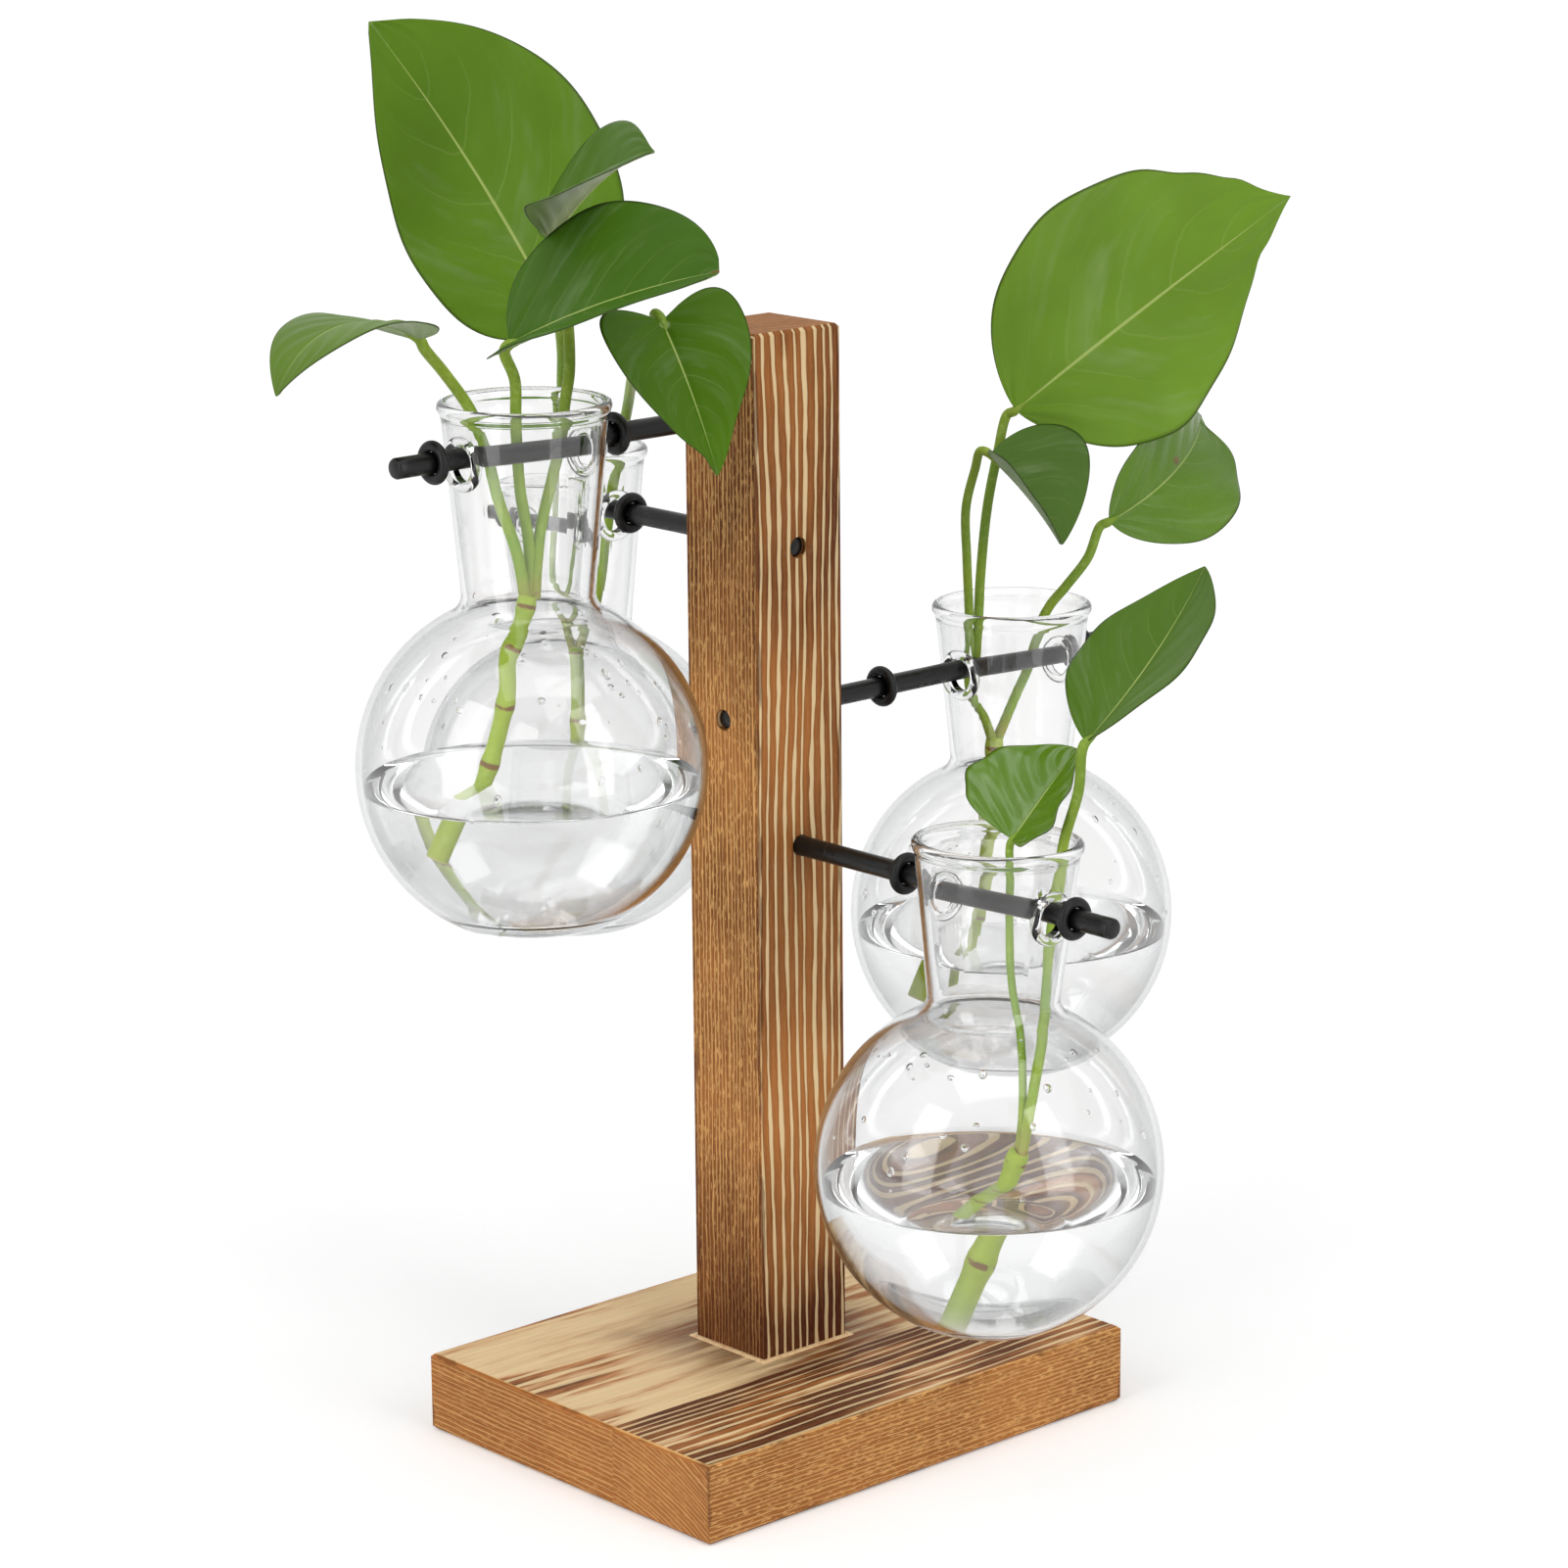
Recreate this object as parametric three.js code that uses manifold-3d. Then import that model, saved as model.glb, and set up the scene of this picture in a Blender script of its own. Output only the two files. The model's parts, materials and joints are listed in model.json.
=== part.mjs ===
import * as THREE from 'three';
import { mergeVertices } from 'three/addons/utils/BufferGeometryUtils.js';
import Module from 'manifold-3d';

// A hydroponic vase: a torched wooden post on a glued board carries four black rods, and on each rod
// hangs a blown glass flask with a leafy cutting rooted in water. Millimetres, +Z up, +X along the
// board's long side. The origin is the centre of the board's underside.

const wasm = await Module();
wasm.setup();
const degrees = Math.PI / 180;
const weldDistance = 1e-4;
const overshoot = 1;

// Board, glued from a narrow front strip and a wide rear strip
const baseLength = 139;
const baseDepth = 105;
const baseThickness = 20;
const frontStripDepth = 35;
const arris = 0.8;

// Post, standing in a shallow mortise and held by two screws from below
const postWidth = 27.5;
const postDepth = 25;
const postHeight = 257;
const postX = 1;
const postY = 3.5;
const mortiseDepth = 3;
const glueGap = 0.3;

// Countersunk wood screws under the post
const screwSpacing = 15;
const screwShankRadius = 2;
const screwHeadRadius = 4;
const screwHeadHeight = 2.8;
const screwHeadEdge = 0.4;
const screwRecess = 0.5;
const screwLength = 42;
const screwTipLength = 6;
const screwTipRadius = 0.4;
const screwClearance = 0.2;

// Rods, pushed right through the post, and the rubber rings on them
const rodRadius = 2.5;
const rodChamfer = 0.6;
const rodRecess = 1;
const rodHoleClearance = 0.15;
const ringSection = 1.3;
const ringStretch = 0.06;
const ringSides = 8;
const roundSides = 16;

// Glass flasks
const bulbRadius = 41.5;
const glassWall = 1.5;
const floorThickness = 2.4;
const throatRadius = 15.7;
const throatHeight = bulbRadius;
const filletReach = 3.2;
const innerFillet = 1;
const mouthRadius = 19.6;
const beadRadius = 0.8;
const beadHeight = 3.2;
const beadEdgeDrop = 0.4;
const rimEdgeDrop = 0.6;
const rodEyeRadius = 4.25;
const rodEyeSeat = 0.3;
const lipRadius = 1.3;
const lipStandoff = 1.04;
const lipSides = 6;
const stemRest = 0.4;
const flaskSides = 24;
const bulbSteps = 8;

// Cuttings
const petioleSides = 6;
const stemSides = 8;
const tubeStep = 5;
const leafThickness = 0.8;
const leafSeat = 0.55;
const petioleTuckAlong = 1.8;
const petioleTuckDown = 1;
const midribSteps = 24;
const leafSteps = 10;
const leafCells = 6;
const rowCrowding = 1.25;
const pinchOnset = 6;
const lobeFade = 1.5;

// Where each rod leaves the post. out is the way the rod runs, below is its axis below the post's top,
// reach is from the post's face to the flask's middle, the rings and the tip are measured from the
// flask's middle, rimRise is the rim above the rod, bulbDrop the bulb's centre below it, foot the
// radius of the flat the flask would stand on, and lean the degrees that the flask hangs off plumb
// about the rod's outward direction.
const arms = [
  { name: 'upper_left', out: [-1, 0], below: 21, reach: 60, ringIn: 27.1, ringOut: 27.1, tip: 38.4,
    rimRise: 11.2, bulbDrop: 75.8, foot: 19, lean: 0 },
  { name: 'upper_rear', out: [0, 1], below: 53, reach: 61.5, ringIn: 24.5, ringOut: 28.5, tip: 39.5,
    rimRise: 13.9, bulbDrop: 72, foot: 16, lean: 0 },
  { name: 'lower_right', out: [1, 0], below: 95.5, reach: 70.9, ringIn: 45.6, ringOut: 23.9, tip: 33,
    rimRise: 14.7, bulbDrop: 66.8, foot: 16, lean: 0 },
  { name: 'lower_front', out: [0, -1], below: 127, reach: 67.9, ringIn: 30.6, ringOut: 25.7, tip: 38.4,
    rimRise: 14.2, bulbDrop: 65.4, foot: 14, lean: -2 },
];

// Leaves and stems, measured from the rod's axis at the flask's middle. heading and rise aim the
// midrib, roll turns the blade about it, droop and bend curve the midrib down and sideways over its
// length, fold and cup raise the two halves, widest is the share of the length where the blade is
// widest, full rounds the outline, skew widens one half, lobe draws the base back and pinch narrows
// the tip. All angles are in degrees. A stem with a restsAt has its cut end there, stemRest above the
// floor of the glass.
const cuttings = {
  upper_left: {
    stemRadius: 2.2,
    stem: [[0, 0.3, -35], [-2.6, 0, -42.8], [-6, 0.5, -48.7], [-5.7, 1.5, -56.9], [-6.3, 3.5, -65.2],
      [-8.8, 6.5, -78], [-12.6, 11, -92]],
    leaves: [
      { name: 'small_leaf', petioleRadius: 1.4,
        petiole: [[2, 0.4, -36], [6.6, 3.2, -20.6], [11.8, 4.8, -8.4], [14.8, 4.9, 1], [15.6, 4, 9],
          [17.2, 4.2, 16], [20.5, 9.5, 32]],
        seat: [17.3, 10.6, 46], length: 37.5, width: 47, heading: -20, rise: 55, roll: -22, droop: 32,
        bend: -67, fold: 0.36, cup: -0.04, widest: 0.34, full: 0.89, skew: -0.11, lobe: 4, pinch: 0.7 },
      { name: 'left_leaf', petioleRadius: 1.4,
        petiole: [[-0.2, 0.5, -37], [-1, 2.5, -25], [-4.5, 4.8, -11.2], [-6.8, 6, 0.3], [-10.2, 7.5, 9.5],
          [-16.6, 8.5, 18.5]],
        seat: [-23.6, 8.5, 27.5], length: 44.5, width: 46, heading: 162, rise: 37, roll: 9, droop: 105,
        bend: 11, fold: 0.05, cup: -0.02, widest: 0.3, full: 0.9, skew: -0.04, lobe: 1, pinch: 0.16 },
      { name: 'wide_leaf', petioleRadius: 1.4,
        petiole: [[0.6, 1, -36], [3.4, 3.5, -23.8], [2.7, 5.5, -9.8], [2.4, 6.2, 5.1], [1.4, 5, 15]],
        seat: [-3.2, 1.2, 24.7], length: 59, width: 50, heading: -66, rise: 27, roll: 27, droop: 9,
        bend: -14, fold: 0.34, cup: 0.06, widest: 0.38, full: 0.61, skew: 0.06, lobe: 5, pinch: 0 },
    ],
  },
  upper_rear: {
    stemRadius: 2.1,
    stem: [[6.5, 3.5, -36], [5, 2, -46], [2, -1, -58], [-3, -5, -74], [-8.5, -10, -90]],
    restsAt: [-13, -15.2],
    leaves: [
      { name: 'tall_leaf', petioleRadius: 1.3,
        petiole: [[6, 4, -38], [3.8, 6.5, -17.5], [4.6, 6.5, 0], [1.5, 2.5, 14.2], [-6.7, -6.5, 30.7],
          [-11, -12, 40]],
        seat: [-16.5, -17.5, 50], length: 90.5, width: 64.5, heading: 151, rise: 64, roll: -66,
        droop: -13, bend: 19, fold: 0.07, cup: -0.03, widest: 0.39, full: 0.62, skew: -0.12, lobe: 5,
        pinch: 0.57 },
      { name: 'hanging_leaf', petioleRadius: 1.4,
        petiole: [[7, 3.5, -38], [11.2, 1.5, -24.6], [11.5, -1.5, -8.9], [11.1, -5.5, 6.9],
          [5.1, -17.5, 24.1], [-17.6, -47.5, 41], [-38.5, -79.5, 57.6]],
        seat: [-45.9, -90.8, 60.5], length: 40.5, width: 36.5, heading: -92, rise: -53, roll: 13, droop: 1,
        bend: -9, fold: 0.34, cup: -0.03, widest: 0.25, full: 0.87, skew: -0.04, lobe: 9, pinch: 0.12 },
    ],
  },
  lower_right: {
    stemRadius: 2.2,
    stem: [[-3.5, 2.5, -20], [-4, 3, -30], [-5.2, 4.7, -46.9], [-8.4, 7.6, -66], [-13.5, 12, -84]],
    leaves: [
      { name: 'great_leaf', petioleRadius: 1.3,
        petiole: [[-8.5, 5.6, -8], [-5.5, 6.5, 10.4], [-3.8, 7.5, 20.9], [-1.4, 7.5, 38.4],
          [0.4, 5.8, 51.6]],
        seat: [4.9, 3.5, 63], length: 94.5, width: 75, heading: -39, rise: 39, roll: 109, droop: 29,
        bend: -21, fold: -0.13, cup: 0.2, widest: 0.39, full: 0.99, skew: 0.1, lobe: 4, pinch: 0.36 },
      { name: 'folded_leaf', petioleRadius: 1.2,
        petiole: [[-4, 2, -23], [-5.8, 3.8, -15], [-9.4, 5.6, -7.7], [-8.6, 6.4, 6], [-10.1, 6, 26.4],
          [-10.9, 5.5, 39.9], [-9.6, 3.5, 50]],
        seat: [-9.1, -1.5, 54.5], length: 29.5, width: 34.5, heading: -64, rise: -39, roll: 7, droop: 19,
        bend: -3, fold: 0.56, cup: 0.07, widest: 0.41, full: 0.82, skew: 0.08, lobe: 4, pinch: 0.18 },
      { name: 'right_leaf', petioleRadius: 1.3,
        petiole: [[-3, 2.5, -21.5], [6.3, 4.6, -10.2], [11, 5, -3.5], [13.3, 4.8, 3], [14.8, 1.4, 11],
          [17.6, -2.4, 17], [22, -5.5, 24]],
        seat: [28.9, -6.6, 32.6], length: 57.5, width: 31, heading: -14, rise: 21, roll: 73, droop: 52,
        bend: 25, fold: 0.3, cup: 0.08, widest: 0.44, full: 0.8, skew: -0.06, lobe: 2.5, pinch: 0 },
    ],
  },
  lower_front: {
    stemRadius: 2.5,
    stem: [[0.6, -7.3, -61], [-0.6, -3.5, -71], [-1.6, 0, -78.5], [-3, 3, -86], [-6, 5.5, -95]],
    leaves: [
      { name: 'glossy_leaf', petioleRadius: 1,
        petiole: [[1, -6.5, -62], [2.4, -6.5, -51.4], [5, -3.2, -34.7], [6.5, 1.3, -21.5],
          [7.3, 2.9, -4.5], [8.6, 4, 4]],
        seat: [10.6, 5.7, 11.2], length: 26.5, width: 33, heading: -32, rise: 54, roll: 22, droop: 5,
        bend: 4, fold: 0.34, cup: 0.08, widest: 0.36, full: 0.74, skew: 0.11, lobe: 2.5, pinch: 0 },
      { name: 'front_leaf', petioleRadius: 1.3,
        petiole: [[0.8, -7.8, -62], [4, -8.7, -45.4], [6.5, -8.9, -33.7], [10, -8, -10.7],
          [12.2, -8.4, 4.8], [12.9, -9.6, 13.5], [13.8, -13.3, 26]],
        seat: [14, -15.1, 38], length: 56, width: 40, heading: -5, rise: 35, roll: -5, droop: -9,
        bend: 14, fold: 0.34, cup: -0.08, widest: 0.47, full: 0.94, skew: -0.02, lobe: 3, pinch: 0.05 },
    ],
  },
};

const finishes = {
  torchedWood: new THREE.MeshStandardMaterial({ color: 0x9c6638, roughness: 0.7, metalness: 0 }),
  screwSteel: new THREE.MeshStandardMaterial({ color: 0xb8b6ac, roughness: 0.35, metalness: 1 }),
  blackRod: new THREE.MeshStandardMaterial({ color: 0x141414, roughness: 0.45, metalness: 0 }),
  blackRubber: new THREE.MeshStandardMaterial({ color: 0x0d0d0d, roughness: 0.6, metalness: 0 }),
  clearGlass: new THREE.MeshStandardMaterial({ color: 0xeef4f4, roughness: 0.02, metalness: 0,
    transparent: true, opacity: 0.35 }),
  greenStem: new THREE.MeshStandardMaterial({ color: 0x8aa84c, roughness: 0.5, metalness: 0 }),
  greenLeaf: new THREE.MeshStandardMaterial({ color: 0x3f7a1e, roughness: 0.45, metalness: 0 }),
};

const group = new THREE.Group();

function addPiece(name, geometry, material) {
  const mesh = new THREE.Mesh(geometry, material);
  mesh.name = name;
  group.add(mesh);
}

// Solids: a closed geometry becomes a manifold for cutting and joining, and back again.
function toSolid(geometry) {
  const bare = geometry.clone();
  bare.deleteAttribute('normal');
  bare.deleteAttribute('uv');
  const merged = mergeVertices(bare, weldDistance);
  return new wasm.Manifold(new wasm.Mesh({
    numProp: 3,
    vertProperties: new Float32Array(merged.attributes.position.array),
    triVerts: new Uint32Array(merged.index.array),
  }));
}

function toGeometry(solid) {
  const mesh = solid.getMesh();
  const geometry = new THREE.BufferGeometry();
  geometry.setAttribute('position', new THREE.BufferAttribute(new Float32Array(mesh.vertProperties), 3));
  geometry.setIndex(new THREE.BufferAttribute(new Uint32Array(mesh.triVerts), 1));
  return geometry;
}

function boxBetween(low, high) {
  const size = high.map((value, axis) => value - low[axis]);
  const box = new THREE.BoxGeometry(...size);
  box.translate(...low.map((value, axis) => value + size[axis] / 2));
  return box;
}

// A turned body: the profile is [radius, height] points, and its axis runs from the origin along the
// given direction.
function turned(profile, sides, direction = new THREE.Vector3(0, 0, 1)) {
  const points = profile.map(([radius, height]) => new THREE.Vector2(radius, height));
  const geometry = new THREE.LatheGeometry(points, sides);
  const turn = new THREE.Quaternion().setFromUnitVectors(new THREE.Vector3(0, 1, 0), direction);
  geometry.applyQuaternion(turn);
  return geometry;
}

function cylinderProfile(radius, start, end) {
  return [[0, start], [radius, start], [radius, end], [0, end]];
}

function circleProfile(middleRadius, sectionRadius, steps) {
  const points = [];
  for (let i = 0; i <= steps; i += 1) {
    const angle = (i / steps) * 2 * Math.PI;
    points.push([middleRadius + sectionRadius * Math.cos(angle), sectionRadius * Math.sin(angle)]);
  }
  points[steps] = [...points[0]];
  return points;
}

function tube(points, radius, sides) {
  const outline = [];
  for (let i = 0; i < sides; i += 1) {
    const angle = (i / sides) * 2 * Math.PI;
    outline.push(new THREE.Vector2(radius * Math.cos(angle), radius * Math.sin(angle)));
  }
  const path = new THREE.CatmullRomCurve3(points);
  const steps = Math.ceil(path.getLength() / tubeStep);
  return new THREE.ExtrudeGeometry(new THREE.Shape(outline), { steps, extrudePath: path });
}

// The board: one chamfered block, cut along the glue line, with a mortise and two screw holes.
const postBack = postY + postDepth / 2;
const postFront = postY - postDepth / 2;
const screwPlaces = [postX - screwSpacing / 2, postX + screwSpacing / 2];
const screwTop = screwRecess + screwLength;
const postBottom = baseThickness - mortiseDepth;
const postTop = baseThickness + postHeight;

function chamferedBlock(width, depth, height) {
  const inner = new THREE.Shape();
  inner.moveTo(-width / 2 + arris, -depth / 2 + arris);
  inner.lineTo(width / 2 - arris, -depth / 2 + arris);
  inner.lineTo(width / 2 - arris, depth / 2 - arris);
  inner.lineTo(-width / 2 + arris, depth / 2 - arris);
  const block = new THREE.ExtrudeGeometry(inner, { depth: height - 2 * arris, bevelEnabled: true,
    bevelThickness: arris, bevelSize: arris, bevelSegments: 1 });
  block.translate(0, 0, arris);
  return block;
}

function screwAt(x, start, grow) {
  const profile = [[0, start], [screwHeadRadius + grow, start],
    [screwHeadRadius + grow, screwRecess + screwHeadEdge + grow],
    [screwShankRadius + grow, screwRecess + screwHeadHeight + grow],
    [screwShankRadius + grow, screwTop - screwTipLength], [screwTipRadius + grow, screwTop + grow],
    [0, screwTop + grow]];
  const screw = turned(profile, roundSides);
  screw.translate(x, postY, 0);
  return screw;
}

const mortise = toSolid(boxBetween(
  [postX - postWidth / 2 - glueGap, postFront - glueGap, baseThickness - mortiseDepth - glueGap],
  [postX + postWidth / 2 + glueGap, postBack + glueGap, baseThickness + overshoot]));
const glueLine = -baseDepth / 2 + frontStripDepth;
const board = toSolid(chamferedBlock(baseLength, baseDepth, baseThickness));
const frontHalf = toSolid(boxBetween([-baseLength, -baseDepth, -overshoot],
  [baseLength, glueLine, baseThickness + overshoot]));
let rearStrip = board.subtract(frontHalf).subtract(mortise);
for (const x of screwPlaces) {
  rearStrip = rearStrip.subtract(toSolid(screwAt(x, -overshoot, screwClearance)));
}
addPiece('base_front_strip', toGeometry(board.intersect(frontHalf)), finishes.torchedWood);
addPiece('base_rear_strip', toGeometry(rearStrip), finishes.torchedWood);

// The post, bored for the rods and drilled for the screws
const block = chamferedBlock(postWidth, postDepth, postTop - postBottom);
block.translate(postX, postY, postBottom);
let post = toSolid(block);
for (const x of screwPlaces) {
  post = post.subtract(toSolid(screwAt(x, -overshoot, screwClearance)));
}

// Rods, rings and flasks
function armFrame(arm) {
  const out = new THREE.Vector3(arm.out[0], arm.out[1], 0);
  const halfPost = Math.abs(arm.out[0]) * (postWidth / 2) + Math.abs(arm.out[1]) * (postDepth / 2);
  const middle = new THREE.Vector3(postX, postY, postTop - arm.below)
    .addScaledVector(out, halfPost + arm.reach);
  return { out, halfPost, middle };
}

function rodProfile(arm, halfPost) {
  const start = -arm.reach - 2 * halfPost + rodRecess;
  return [[0, start], [rodRadius - rodChamfer, start], [rodRadius, start + rodChamfer],
    [rodRadius, arm.tip - rodChamfer], [rodRadius - rodChamfer, arm.tip], [0, arm.tip]];
}

function footHeight(arm) {
  return -arm.bulbDrop - Math.sqrt(bulbRadius ** 2 - arm.foot ** 2);
}

// Half of the glass's outline, from the foot up the outside, over the bead and down the inside.
function flaskProfile(arm) {
  const centre = -arm.bulbDrop;
  const throat = centre + throatHeight;
  const rim = arm.rimRise;
  const inner = bulbRadius - glassWall;
  const outerStart = -Math.acos(arm.foot / bulbRadius);
  const outerEnd = Math.asin((throatHeight - filletReach) / bulbRadius);
  const floor = footHeight(arm) + floorThickness;
  const innerStart = Math.asin((floor - centre) / inner);
  const innerEnd = Math.acos((throatRadius - glassWall + innerFillet) / inner);
  const points = [[0, footHeight(arm)]];
  for (let i = 0; i <= bulbSteps; i += 1) {
    const angle = outerStart + ((outerEnd - outerStart) * i) / bulbSteps;
    points.push([bulbRadius * Math.cos(angle), centre + bulbRadius * Math.sin(angle)]);
  }
  points.push([throatRadius, throat], [mouthRadius, rim - beadHeight]);
  points.push([mouthRadius + beadRadius, rim - beadHeight / 2]);
  points.push([mouthRadius + beadRadius / 2, rim - beadEdgeDrop]);
  points.push([mouthRadius - glassWall / 2, rim], [mouthRadius - glassWall, rim - rimEdgeDrop]);
  points.push([mouthRadius - glassWall, rim - beadHeight], [throatRadius - glassWall, throat]);
  for (let i = bulbSteps; i >= 0; i -= 1) {
    const angle = innerStart + ((innerEnd - innerStart) * i) / bulbSteps;
    points.push([inner * Math.cos(angle), centre + inner * Math.sin(angle)]);
  }
  points.push([0, floor]);
  return points;
}

function neckRadiusAt(arm, height) {
  const low = -arm.bulbDrop + throatHeight;
  const high = arm.rimRise - beadHeight;
  return throatRadius + ((mouthRadius - throatRadius) * (height - low)) / (high - low);
}

const eyeHeight = -(rodEyeRadius - rodRadius - rodEyeSeat);

function flaskGeometry(arm, out, middle) {
  let glass = toSolid(turned(flaskProfile(arm), flaskSides));
  const eyeOffset = neckRadiusAt(arm, eyeHeight);
  for (const side of [-1, 1]) {
    const lip = turned(circleProfile(rodEyeRadius + lipStandoff, lipRadius, lipSides), roundSides, out);
    lip.translate(out.x * side * eyeOffset, out.y * side * eyeOffset, eyeHeight);
    glass = glass.add(toSolid(lip));
  }
  const bore = turned(cylinderProfile(rodEyeRadius, -2 * mouthRadius, 2 * mouthRadius), roundSides, out);
  bore.translate(0, 0, eyeHeight);
  const geometry = toGeometry(glass.subtract(toSolid(bore)));
  const hang = new THREE.Quaternion().setFromAxisAngle(out, arm.lean * degrees);
  geometry.applyQuaternion(hang);
  geometry.translate(middle.x, middle.y, middle.z);
  return geometry;
}

// Leaves
function leafFrame(leaf) {
  const heading = leaf.heading * degrees;
  const rise = leaf.rise * degrees;
  const roll = leaf.roll * degrees;
  const along = new THREE.Vector3(Math.cos(rise) * Math.cos(heading), Math.cos(rise) * Math.sin(heading),
    Math.sin(rise));
  const level = new THREE.Vector3(-Math.sin(heading), Math.cos(heading), 0);
  const up = new THREE.Vector3().crossVectors(along, level);
  const across = level.clone().multiplyScalar(Math.cos(roll)).addScaledVector(up, Math.sin(roll));
  const face = up.clone().multiplyScalar(Math.cos(roll)).addScaledVector(level, -Math.sin(roll));
  return { along, across, face };
}

// The midrib's place and directions at share u of its length: it droops away from the face and bends
// across the blade at a steady rate.
function midrib(leaf, u) {
  const { along, across, face } = leafFrame(leaf);
  const place = new THREE.Vector3(...leaf.seat);
  const tangentAt = (share) => {
    const droop = leaf.droop * degrees * share;
    const bend = leaf.bend * degrees * share;
    return along.clone().multiplyScalar(Math.cos(droop) * Math.cos(bend))
      .addScaledVector(across, Math.cos(droop) * Math.sin(bend))
      .addScaledVector(face, -Math.sin(droop));
  };
  for (let i = 0; i < midribSteps; i += 1) {
    const share = (u * (i + 0.5)) / midribSteps;
    place.addScaledVector(tangentAt(share), (leaf.length * u) / midribSteps);
  }
  const tangent = tangentAt(u);
  const bend = leaf.bend * degrees * u;
  const side = across.clone().multiplyScalar(Math.cos(bend)).addScaledVector(along, -Math.sin(bend));
  const normal = new THREE.Vector3().crossVectors(tangent, side);
  return { place, tangent, side, normal };
}

function bladeShare(leaf, u) {
  const power = Math.log(0.5) / Math.log(leaf.widest);
  return Math.sin(Math.PI * u ** power) ** leaf.full * (1 - leaf.pinch * u ** pinchOnset);
}

function leafPoint(leaf, u, v, drop) {
  const { place, tangent, side, normal } = midrib(leaf, u);
  const share = u > 0 && u < 1 ? bladeShare(leaf, u) : 0;
  const across = v * (leaf.width / 2) * (1 + leaf.skew * Math.sign(v)) * share;
  const raise = leaf.fold * Math.abs(across) + (leaf.cup * across ** 2) / (leaf.width / 2);
  const back = leaf.lobe * v ** 2 * share * (1 - u) ** lobeFade;
  return place.addScaledVector(side, across).addScaledVector(normal, raise - drop)
    .addScaledVector(tangent, -back);
}

// A closed blade: an upper and a lower sheet that meet at a rim, with one point at base and tip.
function leafGeometry(leaf) {
  const positions = [];
  const faces = [];
  const place = (u, v, drop) => positions.push(...leafPoint(leaf, u, v, drop).toArray()) / 3 - 1;
  const sheets = [0, leafThickness].map((drop) => {
    const rows = [];
    for (let i = 1; i < leafSteps; i += 1) {
      const row = [];
      for (let j = 0; j <= leafCells; j += 1) {
        row.push(place((i / leafSteps) ** rowCrowding, (2 * j) / leafCells - 1, drop));
      }
      rows.push(row);
    }
    return { base: place(0, 0, drop), tip: place(1, 0, drop), rows };
  });
  const triangle = (a, b, c, flip) => faces.push(...(flip ? [a, c, b] : [a, b, c]));
  sheets.forEach(({ base, tip, rows }, sheet) => {
    const flip = sheet === 1;
    const last = rows[rows.length - 1];
    for (let j = 0; j < leafCells; j += 1) {
      triangle(base, rows[0][j], rows[0][j + 1], flip);
      triangle(tip, last[j + 1], last[j], flip);
    }
    for (let i = 0; i + 1 < rows.length; i += 1) {
      for (let j = 0; j < leafCells; j += 1) {
        triangle(rows[i][j], rows[i + 1][j], rows[i + 1][j + 1], flip);
        triangle(rows[i][j], rows[i + 1][j + 1], rows[i][j + 1], flip);
      }
    }
  });
  const loops = sheets.map(({ base, tip, rows }) => [base, ...rows.map((row) => row[leafCells]), tip,
    ...rows.map((row) => row[0]).reverse()]);
  loops[0].forEach((top, i) => {
    const next = (i + 1) % loops[0].length;
    triangle(top, loops[0][next], loops[1][i], false);
    triangle(loops[0][next], loops[1][next], loops[1][i], false);
  });
  const geometry = new THREE.BufferGeometry();
  geometry.setAttribute('position', new THREE.BufferAttribute(new Float32Array(positions), 3));
  geometry.setIndex(faces);
  return geometry;
}

// A petiole follows its points and comes up under the leaf's base, along the midrib.
function petiolePath(leaf) {
  const { along, face } = leafFrame(leaf);
  const seat = new THREE.Vector3(...leaf.seat);
  const end = seat.clone().addScaledVector(along, -leafSeat).addScaledVector(face, -leafThickness / 2);
  const under = end.clone().addScaledVector(along, -petioleTuckAlong)
    .addScaledVector(face, -petioleTuckDown);
  return [...leaf.petiole.map((point) => new THREE.Vector3(...point)), under, end];
}

function cuttingGeometry(cutting, arm, middle) {
  const stem = cutting.stem.map((point) => new THREE.Vector3(...point));
  if (cutting.restsAt) {
    stem.push(new THREE.Vector3(...cutting.restsAt,
      footHeight(arm) + floorThickness + cutting.stemRadius + stemRest));
  }
  let plant = toSolid(tube(stem, cutting.stemRadius, stemSides));
  for (const leaf of cutting.leaves) {
    plant = plant.add(toSolid(tube(petiolePath(leaf), leaf.petioleRadius, petioleSides)));
  }
  const geometry = toGeometry(plant);
  geometry.translate(middle.x, middle.y, middle.z);
  return geometry;
}

const ringMiddle = rodRadius + ringStretch + ringSection;

for (const arm of arms) {
  const { out, halfPost, middle } = armFrame(arm);
  const place = (geometry, along) => geometry.translate(middle.x + out.x * along,
    middle.y + out.y * along, middle.z);
  const bore = turned(cylinderProfile(rodRadius + rodHoleClearance, -arm.reach - 3 * halfPost, -overshoot),
    roundSides, out);
  post = post.subtract(toSolid(place(bore, 0)));
  addPiece(`${arm.name}_rod`, place(turned(rodProfile(arm, halfPost), roundSides, out), 0),
    finishes.blackRod);
  const rings = { inner: -arm.ringIn, outer: arm.ringOut };
  for (const [which, along] of Object.entries(rings)) {
    const ring = turned(circleProfile(ringMiddle, ringSection, ringSides), roundSides, out);
    addPiece(`${arm.name}_${which}_ring`, place(ring, along), finishes.blackRubber);
  }
  addPiece(`${arm.name}_flask`, flaskGeometry(arm, out, middle), finishes.clearGlass);
  const cutting = cuttings[arm.name];
  addPiece(`${arm.name}_stem`, cuttingGeometry(cutting, arm, middle), finishes.greenStem);
  for (const leaf of cutting.leaves) {
    const blade = leafGeometry(leaf);
    blade.translate(middle.x, middle.y, middle.z);
    addPiece(leaf.name, blade, finishes.greenLeaf);
  }
}
addPiece('post', toGeometry(post), finishes.torchedWood);
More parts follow.
